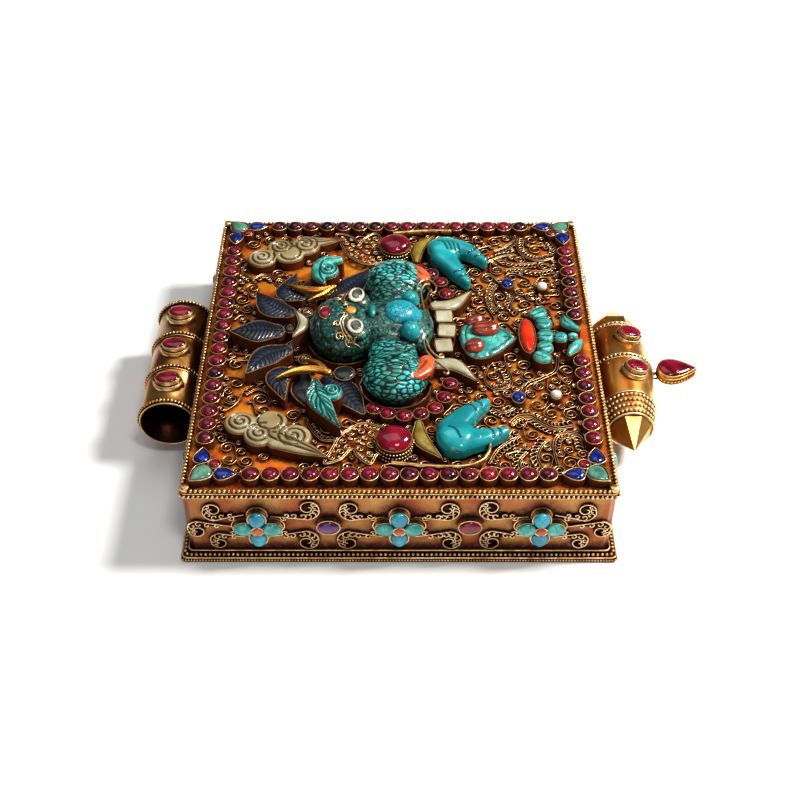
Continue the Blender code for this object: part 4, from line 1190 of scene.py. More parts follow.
def dress_wall(side, flowers, ovals, scrolls, nodes_there):
    """All the ornaments of one wall."""
    stand = wall_matrix(side)
    petals, rims, corals, gems, lines, grounds = [], [], [], [], [], []
    for x in flowers:
        bodies, outlines, round_all, curls = flower(x)
        petals += bodies
        rims.append(collet_mesh(outlines, 0, 1.75, 0.22))
        rims.append(wire_mesh([round_all], 0.42, WALL_GOLD, 0.6))
        corals.append(surface(oval(x, FLOWER_DOWN, 1.35, 1.35, steps=14), 0.5, 2.5, 3.2, 10))
        rims.append(collet_mesh([circle(x, FLOWER_DOWN, 1.5, steps=14)], 0, 2.6, 0.3))
        lines += curls
    for x in ovals:
        rows = oval(x, -0.3, 2.8, 2.35)
        gems.append(surface(rows, 0.1, 1.3, 2.5, 12))
        rims.append(collet_mesh([outline(rows, 0.2, 0)], 0, 1.45))
    for place_there in scrolls:
        wires_there, rim = paisley(*place_there)
        lines += wires_there
        grounds.append(rim)
    rims.append(wire_mesh([level(line, 0.3) for line in lines], WALL_WIRE, WALL_GOLD, 0.62, False))
    stones = [
        ("petals_upright", petals[1::2], PETAL_BLUE, "turquoise"),
        ("petals_level", petals[::2], CARVED_TURQUOISE, "turquoise"),
        ("corals", corals, CORAL, "coral"),
        ("gem_left", gems[:1], AMETHYST, "ruby"),
        ("gem_right", gems[1:], RUBY, "ruby"),
        # near-black pads inside the paisleys: painted shade under the raised wire
        ("grounds", [pad(rim, 0.12) for rim in grounds], SHADE_BLACK, "antique_gilt"),
    ]
    for label, bodies, finish, slot in stones:
        if bodies:
            replaced = nodes_there if label == "petals_upright" else ()
            piece(f"wall_{side}_{label}", solid(label, *bodies), finish, replaced, stand)
    piece(f"wall_{side}_gold", together(*rims), WALL_GOLD, stand=stand, flat=True)


def pad(rim, height):
    """A thin flat plate inside a closed outline."""
    count = len(rim)
    middle = rim.mean(axis=0)
    points = np.vstack([level(rim, 0.02), level(rim, height), [[*middle, 0.02], [*middle, height]]])
    around = [(index, (index + 1) % count) for index in range(count)]
    faces = [(first, after, after + count, first + count) for first, after in around]
    faces += [(after, first, 2 * count) for first, after in around]
    faces += [(first + count, after + count, 2 * count + 1) for first, after in around]
    return points, faces


BESIDE_END_FLOWER = (
    (47.1, 5.2, 39.4, 3.6, 2.2, 4),
    (51.6, -2.6, 42.8, -0.8, 2.1, 4),
    (46.3, -7.1, 39.6, -4.9, 2, 3),
    (23, 6, 32.6, 3, 2.4, 6),
    (23.7, -6.9, 33.2, -4.7, 2.5, 6),
)
BESIDE_MIDDLE_FLOWER = ((12.4, 5.6, 3.8, 2.8, 2.3, 5), (13.1, -7, 4.2, -4.7, 2.4, 5))
long_wall = [
    (way * head_x, head_y, way * tail_x, tail_y, size, hooks)
    for way in (-1, 1)
    for head_x, head_y, tail_x, tail_y, size, hooks in BESIDE_END_FLOWER + BESIDE_MIDDLE_FLOWER
]
dress_wall("front", (-36, 0, 36), (-18, 18), long_wall, ["wall_stones_front"])
dress_wall("back", (-36, 0, 36), (-18, 18), long_wall, ["wall_stones_back"])
short_wall = [
    (place_x + way * head_x, head_y, place_x + way * tail_x, tail_y, 2.1, 4)
    for place_x in (-38, 38)
    for way in (-1, 1)
    for head_x, head_y, tail_x, tail_y in ((11.2, 5.4, 3.6, 3.2), (10.6, -6.8, 3.9, -4.7))
]
dress_wall("left", (-38, 38), (), short_wall, ["wall_flower_left_front", "wall_flower_left_back"])
dress_wall("right", (-38, 38), (), short_wall, ["wall_flower_right_front", "wall_flower_right_back"])
print("flowers on the walls:", 3 + 3 + 2 + 2)

# %% [markdown]
# ## Turned fittings
# The cord tube and the barrel were turned on a lathe, so each is a profile spun about an axis: a list of
# distances along the axis and radii. Beads sit in rings on them.


# %% Turned bodies
def turned(profile, segments=72):
    """A body spun about Y from a list of (place along Y, radius). Ends at radius 0 close it."""
    points = [
        (radius * cos(angle), spot, radius * sin(angle))
        for spot, radius in profile
        for angle in around(segments)
    ]
    faces = []
    for ring in range(len(profile) - 1):
        for index in range(segments):
            after = (index + 1) % segments
            low, high = ring * segments, (ring + 1) * segments
            faces.append((low + index, low + after, high + after, high + index))
    return np.array(points), faces


def ring_line(radius, spot, steps=48):
    """A closed line round the Y axis."""
    turns = around(steps)
    return np.column_stack([radius * np.cos(turns), np.full(steps, spot), radius * np.sin(turns)])


tube_low, tube_high = box_mm("cord_tube")
TUBE_RADIUS, TUBE_BORE = 7.9, 7.2
TUBE_STEPS = 7.1
tube_half = (tube_high.y - tube_low.y) / 2
tube_middle = Vector((tube_low.x + TUBE_RADIUS + 0.9, (tube_low.y + tube_high.y) / 2, WALL_MIDDLE))
outside = [(way * tube_half, TUBE_RADIUS - 0.1) for way in (-1, 1)]
outside.insert(1, (0, TUBE_RADIUS))
mouth = (-tube_half, TUBE_BORE + 0.3)
tube_mesh = solid("cord tube", turned([mouth, *outside, (tube_half, mouth[1]), mouth]))
tube_place = Matrix.Translation(tube_middle)
tube_mesh.transform(tube_place)
BRIDGE_HALF = 4.0
bridge_reach = tube_half - 2
bridge_low = tube_middle.x + TUBE_BORE + 0.5
bridge = stroke([(bridge_low, tube_middle.y), (-half_x, tube_middle.y)], [2 * bridge_reach] * 2, 4, 1, 0.001)
bridge_heights = [WALL_MIDDLE + reach * BRIDGE_HALF for reach in (-1, 1, 1.003)]
bridge_mesh = solid("bridge", surface(bridge, *bridge_heights, 2))
piece("cord_tube_body", together(tube_mesh, bridge_mesh), TUBE_METAL, replaces=["cord_tube"])
lining = [(way * (tube_half - 0.05), TUBE_BORE + 0.31) for way in (-1, 1)]
lining += [(-way * (tube_half - 0.05), TUBE_BORE) for way in (-1, 1)]
lining_mesh = solid("tube lining", turned([*lining, lining[0]]))
# The dark lining paints the shade inside the tube's bore.
piece("cord_tube_lining", lining_mesh, SHADE_BLACK, stand=tube_place)
bead_rings = (-tube_half + 0.9, -TUBE_STEPS, TUBE_STEPS, tube_half - 0.9)
tube_rings = [ring_line(TUBE_RADIUS + 0.35, spot) for spot in bead_rings]
side_spots = [spot + way for spot in (-TUBE_STEPS, TUBE_STEPS) for way in (-0.75, 0.75)]
side_rings = [ring_line(TUBE_RADIUS + 0.1, spot) for spot in side_spots]
side_rings += [ring_line(TUBE_RADIUS - 0.1, way * (tube_half - 0.15)) for way in (-1, 1)]
tube_gold = together(bead_mesh(tube_rings, 1.02, 0.5), wire_mesh(side_rings, 0.45))
piece("cord_tube_beads", tube_gold, BEADS, stand=tube_place)
print("tube bore", TUBE_BORE * 2, "mm across")


# %% Oval rubies on the fittings
def set_ruby(name, node, half_length, half_width, stand, rim, rise):
    """An oval ruby in a stepped setting, in a frame whose z points out of the fitting."""
    rows = oval(0, 0, half_length, half_width)
    mesh = solid(name, surface(rows, 0.2, rim - 0.15, rim + rise, fullness=0.7))
    piece(name, mesh, RUBY, [node], stand)
    gold = together(
        collet_mesh([outline(rows, 0.15, 0)], -1.6, rim, 0.4),
        collet_mesh([outline(rows, 0.75, 0)], -1.8, rim * 0.42, 0.7),
        wire_mesh([outline(rows, 0.2, rim), outline(rows, 0.95, rim * 0.45)], 0.4),
    )
    piece(f"{name}_setting", gold, BEADS, stand=stand)


for index in (1, 2, 3):
    low, high = box_mm(f"cord_tube_ruby_{index}")
    stand = Matrix.Translation(((low.x + high.x) / 2, (low.y + high.y) / 2, low.z))
    set_ruby(f"tube_ruby_{index}", f"cord_tube_ruby_{index}", 3.2, 2.2, stand, high.z - low.z - 0.9, 0.8)

# %% [markdown]
# The barrel's side is one shallow arc. A band of four bead rows wraps the front, single rows wrap the middle
# and the back, and an eight-sided cap closes each end. The caps are flat-shaded, so their facets stay crisp.

# %% Barrel
BARREL_RADIUS = 8.8
BARREL_SWELL = 80.0
BARREL_PLACE = -2.4
BARREL_FRONT, BARREL_BACK = -20.8, 16.6
barrel_low, barrel_high = box_mm("barrel")
barrel_middle = Vector((half_x + BARREL_RADIUS + 0.1, BARREL_PLACE, WALL_MIDDLE))


def barrel_radius(spot):
    return BARREL_RADIUS - spot**2 / (2 * BARREL_SWELL)


spots_along = np.linspace(BARREL_FRONT, BARREL_BACK, 32)
barrel_profile = [(spot, barrel_radius(spot)) for spot in spots_along]
barrel_mesh = solid("barrel", turned([(BARREL_FRONT, 0), *barrel_profile, (BARREL_BACK, 0)]))
barrel_place = Matrix.Translation(barrel_middle)
piece("barrel_body", barrel_mesh, BRIGHT, ["barrel"], barrel_place)
front_cap = ((0.1, 0), (0.1, 5.85), (-0.4, 5.85), (-7.9, 0.3), (-7.9, 0))
back_cap = ((0, 0), (0, 7), (3.8, 6.7), (9.7, 3.1), (9.7, 0))
bodies = [
    turned([(end + spot, radius) for spot, radius in cap], 8)
    for end, cap in ((BARREL_FRONT, front_cap), (BARREL_BACK, back_cap))
]
cap_place = barrel_place @ Matrix.Rotation(-pi / 8, 4, "Y")
cap_mesh = solid("barrel caps", *bodies)
piece("barrel_caps", cap_mesh, BRIGHT, stand=cap_place, flat=True)
band_spots = [BARREL_FRONT + 1.05 + 1.72 * row for row in range(4)]
bead_spots = [*band_spots, 0.2, BARREL_BACK - 0.8]
barrel_rings = [ring_line(barrel_radius(spot) + 0.2, spot) for spot in bead_spots]
edge_spots = [BARREL_FRONT + 0.15, BARREL_FRONT + 7.3, BARREL_BACK - 1.5, BARREL_BACK - 0.15, -0.5, 0.9]
edge_rings = [ring_line(barrel_radius(spot) + 0.1, spot) for spot in edge_spots]
barrel_gold = together(bead_mesh(barrel_rings, 1.22, 0.5), wire_mesh(edge_rings, 0.5))
piece("barrel_beads", barrel_gold, PALE_GOLD, stand=barrel_place)
BARREL_LEAN = radians(13)
for index, spot in enumerate((-8.5, 6.3), 1):
    along = spot - BARREL_PLACE
    lean = Matrix.Translation((0, along, 0)) @ Matrix.Rotation(BARREL_LEAN, 4, "Y")
    stand = barrel_place @ lean @ Matrix.Translation((0, 0, barrel_radius(along)))
    set_ruby(f"barrel_ruby_{index}_stone", f"barrel_ruby_{index}", 3, 2.3, stand, 2.3, 0.6)
print("barrel", round(barrel_high.y - barrel_low.y, 1), "mm long")

# %% Pendant
PENDANT_UP = radians(14)
pendant_reach = BARREL_RADIUS + 0.9 + 0.3
pendant_foot = barrel_middle + Vector((cos(PENDANT_UP), 0, sin(PENDANT_UP))) * pendant_reach
pendant_stand = Matrix.Translation(pendant_foot - Vector((0, 0, 1.5)))
pendant_rows = drop(5.55, 0, 10.4, 7.2, 0)
pendant_mesh = solid("pendant", surface(pendant_rows, 0.3, 3, 4.2, fullness=0.8))
piece("pendant_ruby", pendant_mesh, RUBY, ["pendant_drop"], pendant_stand)
pendant_gold = together(
    collet_mesh([outline(pendant_rows, 0.1, 0)], 0.1, 3.1),
    wire_mesh([outline(pendant_rows, *step) for step in ((0.15, 3.1), (0.42, 2.35))], 0.4),
    bead_mesh([outline(pendant_rows, 0.3, 1.2)], 1, 0.46),
    wire_mesh([outline(pendant_rows, 0.2, 0.3)], 0.5),
    wire_mesh([ring_line(1, 0)], 0.6),
)
piece("pendant_setting", pendant_gold, BRIGHT, stand=pendant_stand)
print("pendant reaches x =", round(pendant_foot.x + 11.2, 1))


# %% [markdown]
# ## The relief
# The monster's features are separate stones, each held by its own strip of gold. A simple stone is one
# stroke or oval with a dome on it. The helper below makes the stone, stands a collet round it and lays a fine
# wire on the collet's lip. The stones of the front half are mirrored to the back, unless the two differ.

# %% A set stone
IDENTITY = ("front", lambda rows: rows)
SIDES = (IDENTITY, ("back", mirrored))


def set_stone(
    name, rows, rise, dome_rise, finish, node=None, cuts=(), cut=(0.3, 0.25), columns=18, foot=0.2
):
    """A domed stone on the face in its collet. Cuts are lines carved in it, of this width and depth."""
    floor, top = face_z + foot, seat_z + rise
    edge = top - dome_rise
    mesh = solid(name, surface(rows, floor, edge, top, columns))
    if cuts:
        engrave(mesh, cuts, *cut)
    piece(f"{name}_stone", mesh, finish, [node] if node else ())
    collet = collet_mesh([outline(rows, 0.16, edge)], floor, edge + 0.1, 0.3)
    gold = together(collet, wire_mesh([outline(rows, 0.24, edge + 0.1)], 0.34))
    piece(f"{name}_collet", gold, COLLET, flat=True)


def veins(rows, count, lean=5, margin=0.86):
    """A leaf's cuts: a rib down its middle, and veins that run from the rib to both edges."""
    middle, side, half = rows
    lines = [middle]
    last = len(middle) - 1
    for index in np.linspace(2, last - lean - 1, count).astype(int):
        for way in (-1, 1):
            end = middle[index + lean] + way * side[index + lean] * half[index + lean] * margin
            bend = (middle[index] + end) / 2 + way * side[index] * half[index] * 0.12
            lines.append(curve_through([middle[index], bend, end], 7))
    return lines


# %% Crown leaves, moon and horns
crown = {
    "crown_leaf_middle": ([(-34.4, 0), (-40, 0), (-47.2, 0)], [5.2, 8.4, 0], 5, False),
    "crown_leaf": ([(-31.4, -8), (-36.6, -10.8), (-41.3, -17.4)], [4.2, 7.2, 0], 5, True),
    "crown_side_leaf": ([(-28.4, -15.8), (-32.6, -18.4), (-30.4, -27)], [2.6, 6.2, 0], 4.2, True),
}
for name, (path, widths, rise, both) in crown.items():
    rows = stroke(path, widths, 64)
    for side, turn in SIDES if both else (IDENTITY,):
        label = f"{name}_{side}" if both else name
        there = turn(rows)
        set_stone(label, there, rise, 0.9, LEAF_LAPIS, label, veins(there, 11, 7), (0.2, 0.32), 26)
moon = stroke([(-29.2, -5.8), (-26.5, 0), (-29.2, 5.8)], [0, 2.6, 0], 30)
set_stone("crown_moon", moon, 7.7, 0.8, IVORY, "crown_moon", foot=3.0)
horn_paths = (
    ([(-18.8, -18.2), (-23.2, -16.9), (-28.2, -17.7), (-33.6, -20.4)], [1.8, 2.1, 1.7, 0]),
    ([(-19.4, -17.8), (-22.2, -14.6), (-26.6, -12.4)], [1.5, 1.6, 0]),
)
horn_low, horn_high = box_mm("horn_front")
for side, turn in SIDES:
    prongs = [turn(stroke(*shape, 30)) for shape in horn_paths]
    bodies = [surface(rows, horn_low.z, horn_low.z + 0.5, horn_high.z) for rows in prongs]
    mesh = skinned("horn", 0.14, 3, *bodies)
    creases = [between(rows, share) for rows in prongs for share in (-0.35, 0.35)]
    engrave(mesh, creases, 0.18, 0.22)
    piece(f"horn_{side}_cast", mesh, HORN, [f"horn_{side}"])
print("crown: 5 leaves, a moon and 2 horns")

# %% Curled leaves
front_curl = stroke([(-22.4, -21.9), (-21.2, -28.6), (-15.2, -39)], [2.2, 5.8, 0], 50)
back_curl = stroke([(-21.6, 19.6), (-23.4, 24.2), (-22.3, 29.8), (-17.8, 31.2)], [0, 4.2, 4.4, 2.4], 50)
curls = {
    "swirl_leaf_front": (front_curl, (-17.9, -26), 2.8, 1.9, veins(front_curl, 9, 9)),
    "swirl_leaf_back": (back_curl, (-21.2, 26), 3.3, 0.9, [back_curl[0]]),
}
curl_top = box_mm("swirl_leaf_front")[1].z
for name, (leaf, (x, y), radius, start, cuts) in curls.items():
    disc = oval(x, y, radius, radius)
    bodies = [surface(rows, face_z + 2.6, curl_top - 1.2, curl_top, 20) for rows in (leaf, disc)]
    mesh = skinned(name, 0.15, 2, *bodies)
    engrave(mesh, [*cuts, scroll(x, y, radius * 0.86, 2.1, start, 1, 0.1)], 0.26, 0.45)
    piece(f"{name}_stone", mesh, CARVED_TURQUOISE, [name])
    rims = [outline(leaf, 0.1, 0), outline(disc, 0.1, 0)]
    settings(f"{name}_collet", rims, curl_top - 1.9, curl_top - 1.8, 0.4)

# %% [markdown]
# ### Clouds and paws
# A cloud is four lobes and a tail, with a spiral cut into each lobe and lines along the tail. A paw is a
# round palm with two claws. Both are skinned from their bodies and then engraved.

# %% Clouds
clouds_drawn = {
    "cloud_front": (
        [(-33.4, -34.7, 4.2, 4), (-41.2, -35, 4.1, 3.9), (-36, -39.2, 4, 4), (-27.3, -40.2, 4.6, 4.4)],
        ([(-31, -40.6), (-24.6, -43.9), (-18.3, -47)], [7, 4.4, 0]),
        -1,
    ),
    "cloud_back": (
        [(-33.2, 37.2, 4.4, 3.8), (-41.2, 35.4, 4.2, 4), (-36, 40.6, 3.9, 3.9), (-28.6, 41.7, 4.4, 4.5)],
        ([(-28.6, 43.8), (-23.6, 43.6), (-17.8, 45)], [4.6, 3.2, 0]),
        1,
    ),
}
for name, (lobes, tail, hand) in clouds_drawn.items():
    top = box_mm(name)[1].z + 0.6
    shapes = [oval(*lobe) for lobe in lobes] + [stroke(*tail, 36)]
    bodies = [surface(rows, face_z + 0.6, top - 1, top, 18) for rows in shapes]
    mesh = skinned(name, 0.17, 4, *bodies)
    x, y, wide, _ = lobes[0]
    cuts = [scroll(x, y, wide * 0.9, 0.8, 2.2, hand, 0.7)]
    for number, (x, y, wide, _) in enumerate(lobes[1:], 1):
        cuts.append(scroll(x, y, wide * 0.92, 2.2, 0.6 * number, hand, 0.1))
    cuts += [between(shapes[-1], share) for share in (-0.35, 0.3)]
    engrave(mesh, cuts, 0.27, 0.55)
    piece(f"{name}_stone", mesh, CLOUD, [name])
    settings(f"{name}_collet", [outline(rows, 0.1, 0) for rows in shapes], top - 1.4, top - 1.35, 0.36)
print("clouds:", len(clouds_drawn))

# %% Paws
CLAW_CREASES = (27, 33)
paws = {
    "hand_front": (
        1,
        (14.6, -40.4, 5.3, 5.5),
        ([(15.4, -41.6), (22, -40.4), (27.2, -38.4)], [8.8, 5.4, 2.8]),
        ([(13.2, -38), (17.6, -32.4), (22.6, -28)], [8, 6.2, 2.8]),
    ),
    "hand_back": (
        4,
        (13.5, 39.2, 5.2, 5.8),
        ([(14.4, 40.8), (20.4, 38.6), (25.2, 33.6)], [8, 5.6, 2.4]),
        ([(12.8, 35.6), (16.6, 29.2), (19.7, 23.4)], [7.6, 5.4, 2.4]),
    ),
}
for name, (knuckles, palm, *claws) in paws.items():
    top = box_mm(name)[1].z + 0.4
    shapes = [oval(*palm), *(stroke(*claw, 32) for claw in claws)]
    bodies = [surface(shapes[0], face_z + 0.4, top - 3.6, top, 22)]
    bodies += [surface(rows, face_z + 1.2, top - 3, top - 0.5, 22) for rows in shapes[1:]]
    mesh = skinned(name, 0.2, 8, *bodies)
    cuts = []
    for claw in shapes[1:]:
        for index in CLAW_CREASES:
            ends = [between(claw, share)[index] for share in (-0.75, 0, 0.75)]
            ends[1] = ends[1] + (claw[0][index + 2] - claw[0][index]) * 0.8
            cuts.append(curve_through(ends, 9))
    for step in range(knuckles):
        knuckle = [(-2.2 + 1.5 * step, 1.6), (-0.4 + 1.4 * step, 0.4), (0.8 + 1.2 * step, -2.4)]
        cuts.append(curve_through(np.array(knuckle) + palm[:2], 12))
    engrave(mesh, cuts, 0.28, 0.32)
    piece(f"{name}_stone", mesh, TURQUOISE, [name])
print("paws:", len(paws))

# %% [markdown]
# ### Stones round the mouth
# Teeth, tusks, tongue and crescents are plain polished shapes, so the set-stone helper makes them all. Rows
# of beads stand round the collets of the great rubies, like a little gallery.

# %% Crescents, great rubies, tusks and small stones
plain_stones = {
    "crescent": (
        stroke([(5, -34.6), (5.7, -41), (10.6, -47.2)], [1.4, 3.6, 0]),
        3.2, 0.9, OLIVE, "olive_jade",
    ),
    "tusk": (
        stroke([(10.2, -12.4), (15.2, -13), (20.8, -19.2)], [3.4, 3.9, 0]),
        4.2, 1.2, IVORY, "pale_stone",
    ),
    "great_ruby": (oval(-1.3, -41.4, 4.5, 4.5), 5.6, 2.4, RUBY, "ruby"),
    "lapis": (oval(31.7, -24.4, 1.7, 2), 3, 1.2, LAPIS, "lapis"),
    "pearl": (oval(41.8, -23.2, 1.45, 1.45), 3.1, 1.5, PEARL, "pearl"),
}
for name, (rows, rise, dome_rise, finish, slot) in plain_stones.items():
    for side, turn in SIDES:
        set_stone(f"{name}_{side}", turn(rows), rise, dome_rise, finish, f"{name}_{side}")
gallery = []
for _, turn in SIDES:
    base = turn(oval(-1.3, -41.4, 4.5, 4.5, steps=40))
    for height, out in ((0.4, 0.9), (1.5, 0.75), (2.6, 0.6)):
        gallery.append(outline(base, out, face_z + height))
piece("great_ruby_galleries", bead_mesh(gallery, 0.85, 0.42), WIRE)

# %% Teeth
for index, y in enumerate((-6.25, 0, 6.25)):
    shift = (-0.5, 0.5, -0.1)[index]
    line = [(10.6 + shift, y + shift * 0.4), (14.7 + shift, y - shift * 0.4)]
    tooth = stroke(line, [4.9, 5], 12, 4, 0.12)
    replaced = "teeth" if index == 1 else None
    set_stone(f"tooth_{index}", tooth, 5, 0.5, IVORY, replaced, columns=14)

# %% Tongue
tongue_rows = drop(24.7, -1.2, 15.4, 17, 0, 40)
cuts = [outline(drop(24.7, -1.2, 12.6, 13.6, 0), 0, 0)]
for angle in np.linspace(-2, 2, 9):
    near = (24 + 5 * cos(angle), -1.2 + 5.6 * sin(angle))
    cuts.append([near, (24.5 + 9 * cos(angle), -1.2 + 9 * sin(angle))])
set_stone(
    "tongue_petals", tongue_rows, 4.2, 1.6, CARVED_TURQUOISE, "tongue", cuts, (0.25, 0.35)
)
tongue_top = box_mm("tongue")[1].z
lobes = (
    ("tongue_lobe_middle", oval(23.9, 0.6, 4, 2.7, 0.12), 0.3),
    ("tongue_lobe_front", oval(20.8, -5.6, 2.8, 2.6, 0.3), -0.6),
    ("tongue_lobe_back", oval(21.2, 5.3, 3.2, 2.1, 0.35), -0.9),
)
for name, rows, rise in lobes:
    mesh = solid(name, surface(rows, face_z + 2.5, tongue_top + rise - 2, tongue_top + rise, 22))
    cuts = [between(rows, share)[4:-4] for share in (-0.5, 0.1, 0.5)]
    engrave(mesh, cuts, 0.2, 0.2)
    piece(name, mesh, TONGUE)
coral_oval = oval(35.7, -0.6, 7, 2.1, pi / 2)
set_stone("coral_oval", coral_oval, 4.4, 1.5, VERMILION, "coral_oval")

# %% Lotus of turquoise nuggets
nuggets = [
    oval(39.4, 9, 2.6, 2.3, 0.6), oval(40.7, 4.6, 2.3, 2.6), oval(40.8, -0.8, 2.4, 2.8),
    oval(40.3, -5.6, 2.1, 2.4, 0.4), oval(39.2, -9.7, 2.6, 2.2, -0.5), oval(44.8, -1.4, 2, 1.9),
    stroke([(46.4, 7.4), (47.3, 4.6), (50, 2.2)], [1.2, 3.2, 1.6]),
    stroke([(50, -3.4), (48.4, -5.6), (46.6, -8.4)], [1.8, 3, 1]),
    oval(48.2, -1.2, 1.5, 1.2),
]
lotus_low, lotus_high = box_mm("turquoise_lotus")
heights = (lotus_low.z - 0.6, lotus_high.z - 1.2, lotus_high.z + 0.3)
lotus_mesh = solid("lotus", *(surface(rows, *heights, 16) for rows in nuggets))
lotus_cuts = []
for rows in nuggets[:7]:
    count = len(rows[0])
    lotus_cuts += [between(rows, 0.35)[count // 4 :], between(rows, -0.4)[: count * 2 // 3]]
engrave(lotus_mesh, lotus_cuts, 0.2, 0.22)
piece("turquoise_lotus_stones", lotus_mesh, CARVED_TURQUOISE, ["turquoise_lotus"])
lotus_rims = [outline(rows, 0.12, 0) for rows in nuggets]
settings("turquoise_lotus_collets", lotus_rims, lotus_high.z - 1.25, lotus_high.z - 1.2, 0.3, 0.3)
print("nuggets in the lotus:", len(nuggets))

# %% Arcs of rubies
arc_path = [(-6.7, -29), (-1, -31.4), (5.6, -31), (10.9, -27), (13.6, -19.2)]
arc_spots = curve_through(arc_path, 7)
for side, flip in (("front", 1), ("back", -1)):
    spots_here = arc_spots * [1, flip]
    top = box_mm(f"ruby_arc_{side}")[1].z
    stones_there = level(spots_here, top - 0.9)
    cabochons(f"ruby_arc_{side}_stones", stones_there, 1.95, 1.3, RUBY, f"ruby_arc_{side}")
    rings = [circle(x, y, 2.12) for x, y in spots_here]
    settings(f"ruby_arc_{side}_collets", rings, top - 0.7, top - 0.7, 0.34, COLLET_WALL)
print("rubies in the arcs:", 2 * len(arc_spots))

# %% [markdown]
# ## The mask
# The face is built from round lumps that a remesh runs together, like clay. The forehead, bridge and lip are
# one skin of dark green turquoise. Each cheek is a ball of scaled stone, and the nose is a clear blue saddle
# with two round nostrils.

# %% Mask skins
def raised(*lumps):
    """Lumps whose centres are given above the seat of the stones."""
    return [lump((x, y, seat_z + z), radii) for (x, y, z), radii in lumps]


face_lumps = [
    ((-15.3, 0, 6), (10, 11.3, 6)),
    ((-3, 0, 6), (11.8, 9.6, 5.8)),
    ((5.4, 0, 5.2), (4.2, 8.8, 3.8)),
    ((-5.2, 0, 10.4), (4.4, 2.4, 2.2)),
    ((-15.3, 0, 2.6), (9.4, 10.4, 4.6)),
    ((-1.5, 0, 2.6), (9, 8.6, 4.6)),
]
cheek_lumps = []
for way in (-1, 1):
    face_lumps += [((-2.4, way * 8.4, 5.2), (6.6, 4, 4)), ((-12, way * 6.7, 9.8), (3.8, 3.4, 1.8))]
    ball = [((-1, way * 20, 5.7), (9.1, 8.5, 5.5)), ((-1, way * 19.9, 2.6), (7.6, 7.2, 4.6))]
    cheek_lumps.append([*ball, ((-1.8, way * 12.2, 5.6), (6.9, 5.2, 4.6))])
mask_mesh = skinned("mask", 0.26, 10, *raised(*face_lumps))
wrinkles = []
for way in (-1, 1):
    wrinkles += [scroll(-15, way * 4, reach, 0.3, way * 0.9 + 3, way, 1) for reach in (6.8, 8.2)]
    wrinkles += [scroll(-1, way * 9.5, reach, 0.3, way * 1.2, way, 1) for reach in (3.4, 4.6)]
engrave(mask_mesh, wrinkles, 0.35, 0.3)
piece("mask_face", mask_mesh, GREEN_TURQUOISE, ["mask"])
for lumps, side, finish in zip(cheek_lumps, ("front", "back"), (SCALES_FRONT, SCALES_BACK), strict=True):
    piece(f"mask_cheek_{side}", skinned("cheek", 0.26, 8, *raised(*lumps)), finish)
nose = raised(
    ((0.2, 0, 10.6), (5, 4.6, 3.2)),
    ((2.4, 0, 9.4), (4, 3.6, 3.2)),
)
piece("mask_nose", skinned("nose", 0.18, 6, *nose), SPECKLED)
nostrils = raised(*(((2.9, way * 6.6, 9.6), (2.8, 2.7, 3.2)) for way in (-1, 1)))
wedge = raised(((-7.4, 0, 11.2), (1.2, 2.6, 1.6)))
piece("mask_nostrils", skinned("nostrils", 0.2, 4, *nostrils, *wedge), TURQUOISE)
print("mask skin has", len(mask_mesh.polygons), "faces")

# %% Eyes and cheek corals
CORAL_PATHS = {
    "front": [(7.3, -17.7), (6.4, -20.2), (4.3, -22.8)],
    "back": [(6.8, -18.4), (4.9, -20.6), (2.2, -22.8)],
}
for side, turn in SIDES:
    white = turn(oval(-12, -6.7, 2.15, 2.85, 0.15))
    eye_top = box_mm("eye_front")[1].z
    ring_mesh = solid("eye white", surface(white, eye_top - 3.2, eye_top - 0.35, eye_top + 0.1, 14))
    piece(f"eye_{side}_white", ring_mesh, WHITE_SHELL, [f"eye_{side}"])
    pupil = turn(oval(-11.8, -6.8, 1.35, 1.95, 0.15))
    pupil_mesh = solid("pupil", surface(pupil, eye_top - 0.4, eye_top + 0.05, eye_top + 0.5, 12))
    piece(f"eye_{side}_crystal", pupil_mesh, CRYSTAL)
    eye_rim = wire_mesh([outline(white, 0.15, eye_top - 0.45)], 0.4, height=0.5)
    pupil_rim = wire_mesh([outline(pupil, 0.1, eye_top + 0.05)], 0.16)
    piece(f"eye_{side}_rims", together(eye_rim, pupil_rim), WIRE)
    coral_top = box_mm("cheek_coral_front")[1].z
    coral_rows = turn(stroke(CORAL_PATHS[side], [4.4, 5.2, 4.2]))
    body = surface(coral_rows, coral_top - 3.6, coral_top - 0.9, coral_top + 0.1, 16)
    coral_mesh = solid("cheek coral", body)
    engrave(coral_mesh, [coral_rows[0][12:-12]], 0.3, 0.25)
    piece(f"cheek_coral_{side}_stone", coral_mesh, CORAL, [f"cheek_coral_{side}"])
eye_low, eye_high = box_mm("third_eye")
third = oval(-20.3, 0, 1.8, 2.4)
third_mesh = solid("third eye", surface(third, eye_low.z - 1.5, eye_high.z - 1.2, eye_high.z - 0.2, 14))
piece("third_eye_ruby", third_mesh, RUBY, ["third_eye"])
wires("third_eye_rim", [outline(third, 0.2, eye_high.z - 1.1)], 0.36, height=0.5, closed=True)
print("eyes at", round(eye_top, 1), "mm")

# %% [markdown]
# ### Gold on the mask
# The brows were shaped over the stones. A line drawn flat is laid on them here: a ray is dropped at each of
# its points, and the point takes the height at which the ray lands.

# %% Wire laid on stone
def landing(names):
    """A function that drops a ray on these pieces and gives the height at which it lands, in millimetres."""
    bpy.context.view_layer.update()
    graph = bpy.context.evaluated_depsgraph_get()
    trees = [BVHTree.FromObject(bpy.data.objects[name], graph) for name in names]
    sky = Vector((0, 0, 0.1))

    def height(x, y):
        found = [tree.ray_cast(Vector((x * MM, y * MM, 0)) + sky, Vector((0, 0, -1)))[0] for tree in trees]
        return max([place.z / MM for place in found if place] or [face_z])

    return height


